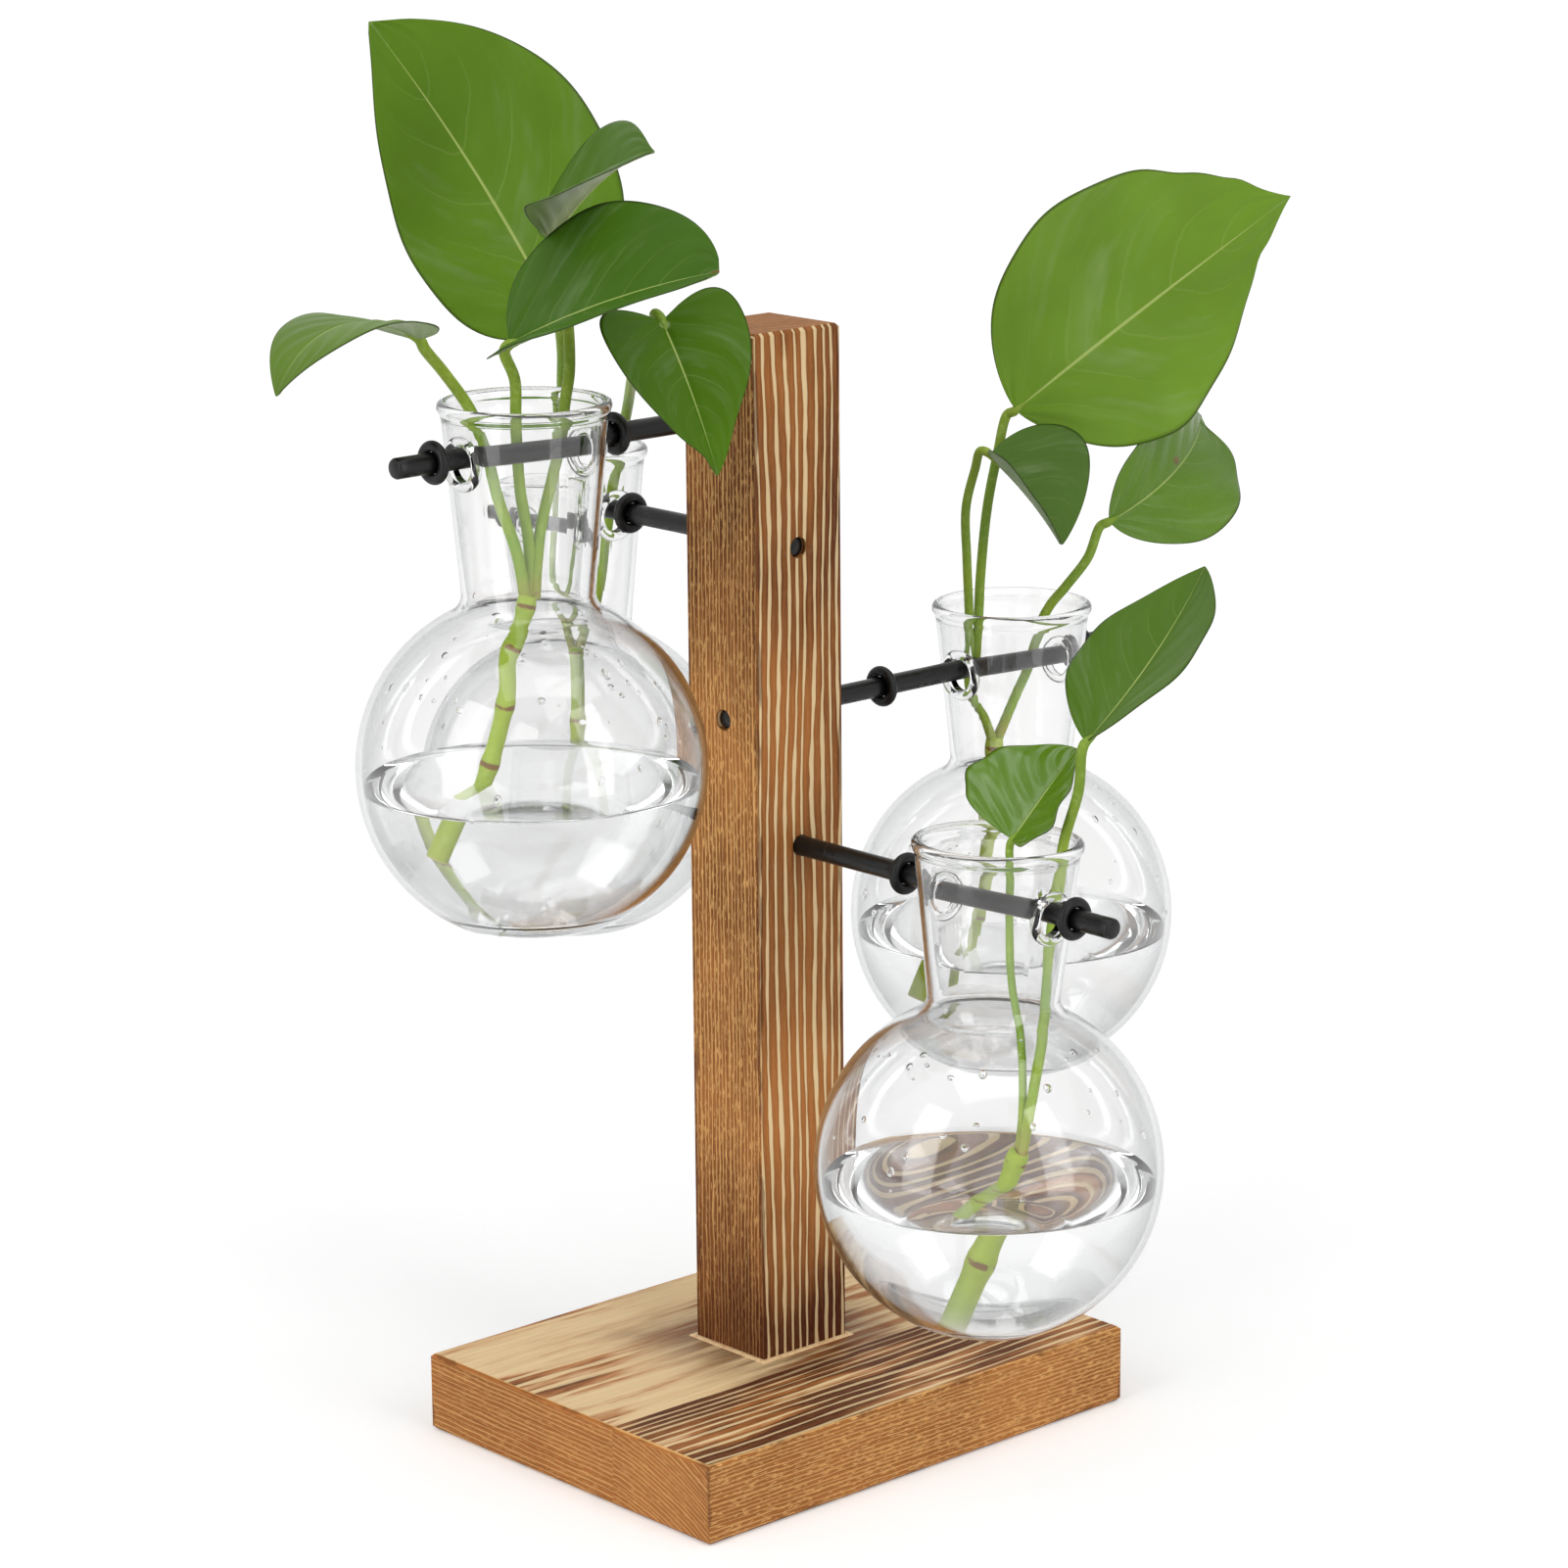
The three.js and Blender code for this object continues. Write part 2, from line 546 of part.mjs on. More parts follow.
screwPlaces.forEach((x, i) => {
  addPiece(i === 0 ? 'left_screw' : 'right_screw', screwAt(x, screwRecess, 0), finishes.screwSteel);
});

export default group;
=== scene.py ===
"""Looks of a hydroponic vase: a torched wooden post and board, black rods with rubber rings, and four blown
flasks of water with leafy cuttings. Sizes are metres unless a name says mm. It is laid out as an add-on and
runs as a script."""

import json
import math

import bmesh
import bpy
import numpy as np
from mathutils import Matrix, Vector


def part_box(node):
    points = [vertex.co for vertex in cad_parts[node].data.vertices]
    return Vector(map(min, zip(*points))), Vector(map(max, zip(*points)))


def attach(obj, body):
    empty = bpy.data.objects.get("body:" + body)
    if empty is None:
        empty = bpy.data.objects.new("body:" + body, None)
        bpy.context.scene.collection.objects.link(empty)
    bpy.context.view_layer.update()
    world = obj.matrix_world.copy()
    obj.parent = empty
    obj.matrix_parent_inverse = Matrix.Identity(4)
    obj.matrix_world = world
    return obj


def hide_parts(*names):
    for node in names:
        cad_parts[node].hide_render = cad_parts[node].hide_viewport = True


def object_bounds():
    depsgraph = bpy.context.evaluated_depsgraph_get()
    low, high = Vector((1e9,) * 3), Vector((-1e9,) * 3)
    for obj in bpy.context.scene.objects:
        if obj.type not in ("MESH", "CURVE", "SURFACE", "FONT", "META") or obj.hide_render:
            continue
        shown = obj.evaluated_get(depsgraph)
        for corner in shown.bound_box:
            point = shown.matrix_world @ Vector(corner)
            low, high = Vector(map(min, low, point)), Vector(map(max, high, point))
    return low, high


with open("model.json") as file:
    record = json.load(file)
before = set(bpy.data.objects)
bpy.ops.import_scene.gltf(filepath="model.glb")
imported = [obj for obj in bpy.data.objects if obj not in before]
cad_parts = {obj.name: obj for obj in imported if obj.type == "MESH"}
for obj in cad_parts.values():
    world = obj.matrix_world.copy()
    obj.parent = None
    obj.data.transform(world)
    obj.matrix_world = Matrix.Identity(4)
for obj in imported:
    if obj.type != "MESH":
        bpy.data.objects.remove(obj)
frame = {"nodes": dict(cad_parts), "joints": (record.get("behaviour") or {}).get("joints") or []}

bl_info = {
    "name": "Hydroponic vase",
    "version": (1, 0, 0),
    "blender": (4, 5, 0),
    "location": "3D View > Sidebar > Vase",
    "description": "Dresses the packed hydroponic vase: wood, rods, rings, glass, water and cuttings",
    "category": "Object",
}

MM = 0.001
CAD_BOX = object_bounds()

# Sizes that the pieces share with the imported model, in millimetres
BULB_RADIUS = 41.5
GLASS_WALL = 1.5
FLOOR_THICKNESS = 2.4
THROAT_RADIUS = 15.7
MOUTH_RADIUS = 19.6
BEAD_HEIGHT = 3.2
BEAD_RADIUS = 0.8
EYE_RADIUS = 4.25
EYE_HEIGHT = -1.45
LIP_RADIUS = 1.3
STEM_REST = 0.4
LEAF_THICKNESS = 0.8
LEAF_SEAT = 0.55
RING_SECTION = 1.3
RING_MIDDLE = 3.86
GLUE_LINE = -17.5

# Sides of the meshes' rounds
FLASK_SIDES = 96
SMALL_SIDES = 48

# Each flask, measured from the rod's axis at the flask's middle: the rim above it, the bulb's centre below
# it, the radius of its flat foot, and the degrees that it hangs off plumb about the rod's outward direction.
FLASKS = {
    "upper_left": {"out": (-1, 0, 0), "rim_rise": 11.2, "bulb_drop": 75.8, "foot": 19, "lean": 0},
    "upper_rear": {"out": (0, 1, 0), "rim_rise": 13.9, "bulb_drop": 72, "foot": 16, "lean": 0},
    "lower_right": {"out": (1, 0, 0), "rim_rise": 14.7, "bulb_drop": 66.8, "foot": 16, "lean": 0},
    "lower_front": {"out": (0, -1, 0), "rim_rise": 14.2, "bulb_drop": 65.4, "foot": 14, "lean": -2},
}

# Cuttings, in millimetres and degrees from the flask's middle, as in the part's source. scars are the leaf
# nodes' places along the stem, in millimetres from its top.
CUTTINGS = {
    "upper_left": {
        "stem_radius": 2.2,
        "stem": [(0, 0.3, -35), (-2.6, 0, -42.8), (-6, 0.5, -48.7), (-5.7, 1.5, -56.9), (-6.3, 3.5, -65.2),
                 (-8.8, 6.5, -78), (-12.6, 11, -92)],
        "scars": [2.5, 13, 27, 42],
        "leaves": {
            "small_leaf": {
                "petiole_radius": 1.4,
                "petiole": [(2, 0.4, -36), (6.6, 3.2, -20.6), (11.8, 4.8, -8.4), (14.8, 4.9, 1), (15.6, 4, 9),
                            (17.2, 4.2, 16), (20.5, 9.5, 32)],
                "seat": (17.3, 10.6, 46), "length": 37.5, "width": 47, "heading": -20, "rise": 55,
                "roll": -22, "droop": 32, "bend": -67, "fold": 0.36, "cup": -0.04, "widest": 0.34,
                "full": 0.89, "skew": -0.11, "lobe": 4, "pinch": 0.7},
            "left_leaf": {
                "petiole_radius": 1.4,
                "petiole": [(-0.2, 0.5, -37), (-1, 2.5, -25), (-4.5, 4.8, -11.2), (-6.8, 6, 0.3),
                            (-10.2, 7.5, 9.5), (-16.6, 8.5, 18.5)],
                "seat": (-23.6, 8.5, 27.5), "length": 44.5, "width": 46, "heading": 162, "rise": 37,
                "roll": 9, "droop": 105, "bend": 11, "fold": 0.05, "cup": -0.02, "widest": 0.3, "full": 0.9,
                "skew": -0.04, "lobe": 1, "pinch": 0.16},
            "wide_leaf": {
                "petiole_radius": 1.4,
                "petiole": [(0.6, 1, -36), (3.4, 3.5, -23.8), (2.7, 5.5, -9.8), (2.4, 6.2, 5.1),
                            (1.4, 5, 15)],
                "seat": (-3.2, 1.2, 24.7), "length": 59, "width": 50, "heading": -66, "rise": 27, "roll": 27,
                "droop": 9, "bend": -14, "fold": 0.34, "cup": 0.06, "widest": 0.38, "full": 0.61,
                "skew": 0.06, "lobe": 5, "pinch": 0},
        },
    },
    "upper_rear": {
        "stem_radius": 2.1,
        "stem": [(6.5, 3.5, -36), (5, 2, -46), (2, -1, -58), (-3, -5, -74), (-8.5, -10, -90)],
        "rests_at": (-13, -15.2),
        "scars": [3, 22, 47],
        "leaves": {
            "tall_leaf": {
                "petiole_radius": 1.3,
                "petiole": [(6, 4, -38), (3.8, 6.5, -17.5), (4.6, 6.5, 0), (1.5, 2.5, 14.2),
                            (-6.7, -6.5, 30.7), (-11, -12, 40)],
                "seat": (-16.5, -17.5, 50), "length": 90.5, "width": 64.5, "heading": 151, "rise": 64,
                "roll": -66, "droop": -13, "bend": 19, "fold": 0.07, "cup": -0.03, "widest": 0.39,
                "full": 0.62, "skew": -0.12, "lobe": 5, "pinch": 0.57},
            "hanging_leaf": {
                "petiole_radius": 1.4,
                "petiole": [(7, 3.5, -38), (11.2, 1.5, -24.6), (11.5, -1.5, -8.9), (11.1, -5.5, 6.9),
                            (5.1, -17.5, 24.1), (-17.6, -47.5, 41), (-38.5, -79.5, 57.6)],
                "seat": (-45.9, -90.8, 60.5), "length": 40.5, "width": 36.5, "heading": -92, "rise": -53,
                "roll": 13, "droop": 1, "bend": -9, "fold": 0.34, "cup": -0.03, "widest": 0.25, "full": 0.87,
                "skew": -0.04, "lobe": 9, "pinch": 0.12},
        },
    },
    "lower_right": {
        "stem_radius": 2.2,
        "stem": [(-3.5, 2.5, -20), (-4, 3, -30), (-5.2, 4.7, -46.9), (-8.4, 7.6, -66), (-13.5, 12, -84)],
        "scars": [3, 20, 40],
        "leaves": {
            "great_leaf": {
                "petiole_radius": 1.3,
                "petiole": [(-8.5, 5.6, -8), (-5.5, 6.5, 10.4), (-3.8, 7.5, 20.9), (-1.4, 7.5, 38.4),
                            (0.4, 5.8, 51.6)],
                "seat": (4.9, 3.5, 63), "length": 94.5, "width": 75, "heading": -39, "rise": 39, "roll": 109,
                "droop": 29, "bend": -21, "fold": -0.13, "cup": 0.2, "widest": 0.39, "full": 0.99,
                "skew": 0.1, "lobe": 4, "pinch": 0.36},
            "folded_leaf": {
                "petiole_radius": 1.2,
                "petiole": [(-4, 2, -23), (-5.8, 3.8, -15), (-9.4, 5.6, -7.7), (-8.6, 6.4, 6),
                            (-10.1, 6, 26.4), (-10.9, 5.5, 39.9), (-9.6, 3.5, 50)],
                "seat": (-9.1, -1.5, 54.5), "length": 29.5, "width": 34.5, "heading": -64, "rise": -39,
                "roll": 7, "droop": 19, "bend": -3, "fold": 0.56, "cup": 0.07, "widest": 0.41, "full": 0.82,
                "skew": 0.08, "lobe": 4, "pinch": 0.18},
            "right_leaf": {
                "petiole_radius": 1.3,
                "petiole": [(-3, 2.5, -21.5), (6.3, 4.6, -10.2), (11, 5, -3.5), (13.3, 4.8, 3),
                            (14.8, 1.4, 11), (17.6, -2.4, 17), (22, -5.5, 24)],
                "seat": (28.9, -6.6, 32.6), "length": 57.5, "width": 31, "heading": -14, "rise": 21,
                "roll": 73, "droop": 52, "bend": 25, "fold": 0.3, "cup": 0.08, "widest": 0.44, "full": 0.8,
                "skew": -0.06, "lobe": 2.5, "pinch": 0},
        },
    },
    "lower_front": {
        "stem_radius": 2.5,
        "stem": [(0.6, -7.3, -61), (-0.6, -3.5, -71), (-1.6, 0, -78.5), (-3, 3, -86), (-6, 5.5, -95)],
        "scars": [2.5, 13, 24],
        "leaves": {
            "glossy_leaf": {
                "petiole_radius": 1,
                "petiole": [(1, -6.5, -62), (2.4, -6.5, -51.4), (5, -3.2, -34.7), (6.5, 1.3, -21.5),
                            (7.3, 2.9, -4.5), (8.6, 4, 4)],
                "seat": (10.6, 5.7, 11.2), "length": 26.5, "width": 33, "heading": -32, "rise": 54,
                "roll": 22, "droop": 5, "bend": 4, "fold": 0.34, "cup": 0.08, "widest": 0.36, "full": 0.74,
                "skew": 0.11, "lobe": 2.5, "pinch": 0},
            "front_leaf": {
                "petiole_radius": 1.3,
                "petiole": [(0.8, -7.8, -62), (4, -8.7, -45.4), (6.5, -8.9, -33.7), (10, -8, -10.7),
                            (12.2, -8.4, 4.8), (12.9, -9.6, 13.5), (13.8, -13.3, 26)],
                "seat": (14, -15.1, 38), "length": 56, "width": 40, "heading": -5, "rise": 35, "roll": -5,
                "droop": -9, "bend": 14, "fold": 0.34, "cup": -0.08, "widest": 0.47, "full": 0.94,
                "skew": -0.02, "lobe": 3, "pinch": 0.05},
        },
    },
}

# Dents and bulges of a blade's edge: the share of the length, the side, the depth in millimetres and how far
# it spreads along the length.
LEAF_DENTS = {
    "great_leaf": [(0.68, 1, 1.2, 0.05), (0.86, 1, -1.1, 0.035), (0.84, -1, 1.6, 0.035)],
    "right_leaf": [(0.92, -1, 4.6, 0.09), (0.35, -1, -1.8, 0.2)],
    "hanging_leaf": [(0.72, 1, 1.4, 0.17), (0.88, -1, 1.7, 0.07)],
    "glossy_leaf": [(0.08, 1, -2.2, 0.1), (0.42, -1, -1.5, 0.14), (0.1, -1, 1.8, 0.08)],
}


def leaf_finish(upper, under, gloss, wave, waves, shine=0.16, spot=(0.5, 0.0, 0.0), spot_tone="#7a5a2c"):
    """How a leaf is finished: its faces' colours, the roughness, the height of the waves along its edge in
    millimetres and how many there are, how much it shines, and a dry or pale spot with its colour. spot is
    the place across and along the blade as shares from 0 to 1, and the spot's size as a share."""
    return {"upper": upper, "under": under, "gloss": gloss, "wave": wave, "waves": waves, "shine": shine,
            "spot": spot, "spot_tone": spot_tone}


LEAF_FINISH = {
    "tall_leaf": leaf_finish("#668f1c", "#8aa05c", 0.40, 0.5, 3),
    "left_leaf": leaf_finish("#65852a", "#8ba06c", 0.40, 0.3, 2),
    "wide_leaf": leaf_finish("#426a10", "#6f8746", 0.42, 0.4, 2, spot=(0.5, 1.0, 0.035)),
    "small_leaf": leaf_finish("#52732a", "#8c9c68", 0.34, 0.3, 2),
    "hanging_leaf": leaf_finish("#50780a", "#728f44", 0.40, 0.3, 2, spot=(0.5, 0.02, 0.03),
                                spot_tone="#a4b878"),
    "great_leaf": leaf_finish("#7aa22c", "#92ac5c", 0.36, 0.7, 4),
    "folded_leaf": leaf_finish("#54752a", "#6e884e", 0.42, 0.3, 2),
    "right_leaf": leaf_finish("#628a16", "#80994e", 0.2, 0.9, 3, shine=0.34, spot=(0.56, 0.5, 0.025)),
    "glossy_leaf": leaf_finish("#618a0e", "#80994e", 0.14, 0.8, 3, shine=0.42),
    "front_leaf": leaf_finish("#52761a", "#789446", 0.34, 0.4, 3),
}


def tone(code):
    """A #rrggbb colour as the linear values that Blender's sockets hold."""
    shares = [int(code[i:i + 2], 16) / 255 for i in (1, 3, 5)]
    return [s / 12.92 if s <= 0.04045 else ((s + 0.055) / 1.055) ** 2.4 for s in shares]


def flask_middle(arm):
    """Where the rod's axis passes the flask's middle, in metres."""
    joint = next(j for j in frame["joints"] if j["name"] == f"{arm}_flask_swing")
    return Vector(joint["pos_m"])


# Meshes

def linked(name, data):
    """A new object in the scene from a mesh, a lamp or a camera."""
    made = bpy.data.objects.new(name, data)
    bpy.context.scene.collection.objects.link(made)
    return made


def mesh_object(name, points, faces, smooth=True):
    """A new object at the origin from points in metres."""
    mesh = bpy.data.meshes.new(name)
    mesh.from_pydata([tuple(p) for p in points], [], faces)
    mesh.polygons.foreach_set("use_smooth", [smooth] * len(mesh.polygons))
    mesh.update()
    return linked(name, mesh)


def outward(obj, angle=None):
    """Turns the faces outwards and, with an angle, marks sharper edges."""
    work = bmesh.new()
    work.from_mesh(obj.data)
    bmesh.ops.recalc_face_normals(work, faces=work.faces)
    if angle is not None:
        for edge in work.edges:
            edge.smooth = not (edge.is_manifold and edge.calc_face_angle() > math.radians(angle))
    work.to_mesh(obj.data)
    work.free()
    obj.data.update()


def keep_inside(obj):
    """Presses the hair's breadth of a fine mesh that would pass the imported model's box back to it."""
    points = np.empty(len(obj.data.vertices) * 3, np.float32)
    obj.data.vertices.foreach_get("co", points)
    low, high = (np.array(corner, np.float32) for corner in CAD_BOX)
    obj.data.vertices.foreach_set("co", np.clip(points.reshape(-1, 3), low, high).ravel())
    obj.data.update()


def settle(obj, body, slot, material, *nodes):
    """Gives a finished piece its material and body, and the CAD nodes that it stands for. slot is not used.
    """
    keep_inside(obj)
    obj.data.materials.clear()
    obj.data.materials.append(material)
    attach(obj, body)
    if nodes:
        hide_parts(*nodes)


def baked(obj, name):
    """The evaluated object as a plain mesh object; the one with modifiers is removed."""
    depsgraph = bpy.context.evaluated_depsgraph_get()
    mesh = bpy.data.meshes.new_from_object(obj.evaluated_get(depsgraph))
    bpy.data.objects.remove(obj)
    mesh.name = name
    return linked(name, mesh)


def round_angles(sides):
    """The angles of the corners of a round with so many sides."""
    return np.linspace(0, 2 * math.pi, sides, endpoint=False)


def turned(name, outline, sides, turn=None):
    """A body turned about Z from an outline of (radius, height) points that starts and ends on the axis, or
    closes on itself. turn places it, as a 4x4 matrix."""
    points = []
    rows = []
    for radius, height in outline:
        if radius < 1e-9:
            rows.append([len(points)] * sides)
            points.append((0, 0, height))
        else:
            rows.append(list(range(len(points), len(points) + sides)))
            points += [(radius * math.cos(a), radius * math.sin(a), height) for a in round_angles(sides)]
    if outline[0][0] > 1e-9:
        rows.append(rows[0])
    faces = []
    for low, high in zip(rows, rows[1:]):
        for i in range(sides):
            j = (i + 1) % sides
            corners = list(dict.fromkeys((low[i], low[j], high[j], high[i])))
            if len(corners) > 2:
                faces.append(corners)
    made = mesh_object(name, [tuple(v * MM for v in p) for p in points], faces)
    if turn is not None:
        made.data.transform(turn)
    outward(made)
    return made


def arc(centre, radius, start, end, steps):
    """Points on an arc from start to end, in degrees."""
    return [(centre[0] + radius * math.cos(a), centre[1] + radius * math.sin(a))
            for a in np.radians(np.linspace(start, end, steps + 1))]


def rounded(points, rounds):
    """An open outline with its corners cut again and again, its ends kept."""
    for _ in range(rounds):
        cut = [points[0]]
        for (x0, y0), (x1, y1) in zip(points, points[1:]):
            cut.append((0.75 * x0 + 0.25 * x1, 0.75 * y0 + 0.25 * y1))
            cut.append((0.25 * x0 + 0.75 * x1, 0.25 * y0 + 0.75 * y1))
        points = [*cut, points[-1]]
    return points


def smooth_path(points, spacing):
    """A centripetal spline through the points, as the CAD sweeps follow, sampled about every spacing."""
    given = [np.array(p, float) for p in points]
    given = [2 * given[0] - given[1], *given, 2 * given[-1] - given[-2]]
    path = []
    for a, b, c, d in zip(given, given[1:], given[2:], given[3:]):
        gaps = [max(np.linalg.norm(q - p) ** 0.5, 1e-4) for p, q in ((a, b), (b, c), (c, d))]
        slope_b = ((b - a) / gaps[0] - (c - a) / (gaps[0] + gaps[1]) + (c - b) / gaps[1]) * gaps[1]
        slope_c = ((c - b) / gaps[1] - (d - b) / (gaps[1] + gaps[2]) + (d - c) / gaps[2]) * gaps[1]
        steps = max(1, round(np.linalg.norm(c - b) / spacing))
        for t in np.arange(steps) / steps:
            path.append((2 * t**3 - 3 * t**2 + 1) * b + (t**3 - 2 * t**2 + t) * slope_b
                        + (-2 * t**3 + 3 * t**2) * c + (t**3 - t**2) * slope_c)
    return np.array([*path, given[-2]])


# Node trees

class Term:
    """A socket that stands in a formula: its operators add the node for each step."""

    def __init__(self, graph, socket):
        self.graph = graph
        self.socket = socket

    def __add__(self, other):
        return self.graph.math("ADD", self, other)

    def __sub__(self, other):
        return self.graph.math("SUBTRACT", self, other)

    def __rsub__(self, other):
        return self.graph.math("SUBTRACT", other, self)

    def __mul__(self, other):
        return self.graph.math("MULTIPLY", self, other)

    def __truediv__(self, other):
        return self.graph.math("DIVIDE", self, other)

    def __rtruediv__(self, other):
        return self.graph.math("DIVIDE", other, self)

    def __pow__(self, other):
        return self.graph.math("POWER", self, other)

    def __abs__(self):
        return self.graph.math("ABSOLUTE", self)


class Graph:
    """Short calls that add nodes to one tree and wire them."""

    def __init__(self, tree):
        self.tree = tree

    def feed(self, socket, value):
        """Wires a term or another socket to this one, or sets its own value. Colours need no alpha."""
        if isinstance(value, Term):
            value = value.socket
        if isinstance(value, bpy.types.NodeSocket):
            self.tree.links.new(value, socket)
        elif socket.type == "RGBA":
            socket.default_value = (*value[:3], 1.0)
        else:
            socket.default_value = value

    def node(self, kind, inputs=None, **settings):
        made = self.tree.nodes.new(kind)
        for name, value in settings.items():
            setattr(made, name, value)
        for key, value in (inputs or {}).items():
            self.feed(made.inputs[key], value)
        return made

    def take(self, kind, output, inputs=None, **settings):
        """One output of a new node."""
        return Term(self, self.node(kind, inputs, **settings).outputs[output])

    def outputs(self, node):
        """All outputs of a node by name."""
        return {socket.name: Term(self, socket) for socket in node.outputs}

    def surface(self, shader):
        """Makes a shader the surface of the material or world."""
        output = next(n for n in self.tree.nodes if n.bl_idname.startswith("ShaderNodeOutput"))
        self.feed(output.inputs["Surface"], shader)

    def math(self, operation, *values, clamp=False):
        return self.take("ShaderNodeMath", 0, dict(enumerate(values)), operation=operation, use_clamp=clamp)

    def least(self, first, second):
        return self.math("MINIMUM", first, second)

    def most(self, first, second):
        return self.math("MAXIMUM", first, second)

    def mix(self, factor, first, second):
        """From one colour to the other."""
        return self.take("ShaderNodeMix", 2, {0: factor, 6: first, 7: second}, data_type="RGBA")

    def between(self, factor, first, second):
        """From one value to the other."""
        return self.take("ShaderNodeMix", 0, {0: factor, 2: first, 3: second})

    def choose(self, factor, first, second):
        """From one shader to the other, as outputs of their nodes."""
        return self.take("ShaderNodeMixShader", 0, {0: factor, 1: first, 2: second})

    def step(self, value, low, high):
        """0 below low, 1 above high, smooth between; the other way round where low is above high."""
        return self.take("ShaderNodeMapRange", 0, {0: value, 1: low, 2: high, 3: 0.0, 4: 1.0},
                         interpolation_type="SMOOTHSTEP")

    def fit(self, value, low, high, to_low, to_high):
        """From to_low to to_high as the value goes from low to high, and no further."""
        return self.take("ShaderNodeMapRange", 0, {0: value, 1: low, 2: high, 3: to_low, 4: to_high})

    def place(self, x, y, z):
        return self.take("ShaderNodeCombineXYZ", 0, {0: x, 1: y, 2: z})

    def split(self, vector):
        return [Term(self, socket) for socket in self.node("ShaderNodeSeparateXYZ", {0: vector}).outputs]

    def noise(self, vector, scale=1.0, detail=2.0, roughness=0.5):
        return self.take("ShaderNodeTexNoise", 0, {"Vector": vector, "Scale": scale, "Detail": detail,
                                                   "Roughness": roughness})

    def attribute(self, name):
        return self.take("ShaderNodeAttribute", "Fac", attribute_name=name)

    def object_place(self):
        """Object coordinates, in metres."""
        return self.take("ShaderNodeTexCoord", "Object")

    def millimetres(self):
        """Object coordinates in millimetres, as x, y and z."""
        scaled = self.take("ShaderNodeVectorMath", 0, {0: self.object_place(), 1: (1000, 1000, 1000)},
                           operation="MULTIPLY")
        return self.split(scaled)


WHITE = (1.0, 1.0, 1.0, 1.0)


def effect_group(name, inputs, outputs):
    """A shader node group: its graph, its inputs by name and its output node. An input's default is a value
    or a colour, and outputs gives each output's kind, Float or Color."""
    tree = bpy.data.node_groups.new(name, "ShaderNodeTree")
    for label, default in inputs.items():
        kind = "NodeSocketColor" if isinstance(default, tuple) else "NodeSocketFloat"
        tree.interface.new_socket(label, in_out="INPUT", socket_type=kind).default_value = default
    for label, kind in outputs.items():
        tree.interface.new_socket(label, in_out="OUTPUT", socket_type=f"NodeSocket{kind}")
    graph = Graph(tree)
    return graph, graph.outputs(graph.node("NodeGroupInput")), graph.node("NodeGroupOutput")


def effect(graph, name, inputs):
    """An effect group used in a material or another tree: its outputs by name."""
    return graph.outputs(graph.node("ShaderNodeGroup", inputs, node_tree=bpy.data.node_groups[name]))


def send(graph, out, values):
    """Feeds the inputs of a node by name, such as a group's output node or a Principled shader."""
    for name, value in values.items():
        graph.feed(out.inputs[name], value)


def new_material(name):
    """An empty material: its graph, its Principled shader and the material."""
    material = bpy.data.materials.new(name)
    material.use_nodes = True
    return Graph(material.node_tree), material.node_tree.nodes["Principled BSDF"], material


def relief(graph, height, depth):
    """A bumped normal from a height, with its depth in metres."""
    return graph.take("ShaderNodeBump", 0, {"Strength": 1.0, "Distance": depth, "Height": height})


def geometry_tree(name, inputs):
    """A Geometry Nodes tree with a Finish and the inputs given as kind and default: its graph and inputs."""
    tree = bpy.data.node_groups.new(name, "GeometryNodeTree")
    tree.interface.new_socket("Geometry", in_out="INPUT", socket_type="NodeSocketGeometry")
    for label, (kind, default) in inputs.items():
        socket = tree.interface.new_socket(label, in_out="INPUT", socket_type=f"NodeSocket{kind}")
        socket.default_value = default
    tree.interface.new_socket("Finish", in_out="INPUT", socket_type="NodeSocketMaterial")
    tree.interface.new_socket("Geometry", in_out="OUTPUT", socket_type="NodeSocketGeometry")
    graph = Graph(tree)
    return graph, graph.outputs(graph.node("NodeGroupInput"))


def finished_tree(graph, given, geometry):
    """Ends a Geometry Nodes tree: its geometry made real, shaded smooth and given the finish."""
    real = graph.take("GeometryNodeRealizeInstances", 0, {"Geometry": geometry})
    shaded = graph.take("GeometryNodeSetShadeSmooth", 0, {"Geometry": real})
    done = graph.take("GeometryNodeSetMaterial", 0, {"Geometry": shaded, "Material": given["Finish"]})
    graph.feed(graph.node("NodeGroupOutput").inputs[0], done)
    return graph.tree


# Torched wood

def make_grain_lines():
    """Growth lines across a face: Line is the thin pale line and Ring runs from one line to the next."""
    graph, given, out = effect_group("grain_lines", {
        "Across": 0.0, "Along": 0.0, "Pitch": 2.5, "Wander": 2.0, "Wave": 90.0, "Width": 0.12, "Offset": 0.0,
    }, {"Line": "Float", "Ring": "Float"})
    across, along, offset = given["Across"], given["Along"], given["Offset"]
    slow = graph.noise(graph.place(across * 0.035, along / given["Wave"], offset), detail=1.0)
    quick = graph.noise(graph.place(across * 0.35, along * 0.11, offset), detail=1.0)
    crowd = graph.noise(graph.place(across * 0.13, offset, 3.7))
    moved = across + (slow - 0.5) * given["Wander"] + ((quick - 0.5) * 0.7 + (crowd - 0.5) * 3.5)
    rings = moved / given["Pitch"]
    ring = graph.math("FRACT", rings)
    thick = graph.noise(graph.place(graph.math("FLOOR", rings), along * 0.045, offset))
    width = given["Width"] * graph.fit(thick, 0.3, 0.7, 0.55, 1.35)
    send(graph, out, {"Line": graph.step(abs(ring - 0.5) / width, 1.0, 0.65), "Ring": ring})


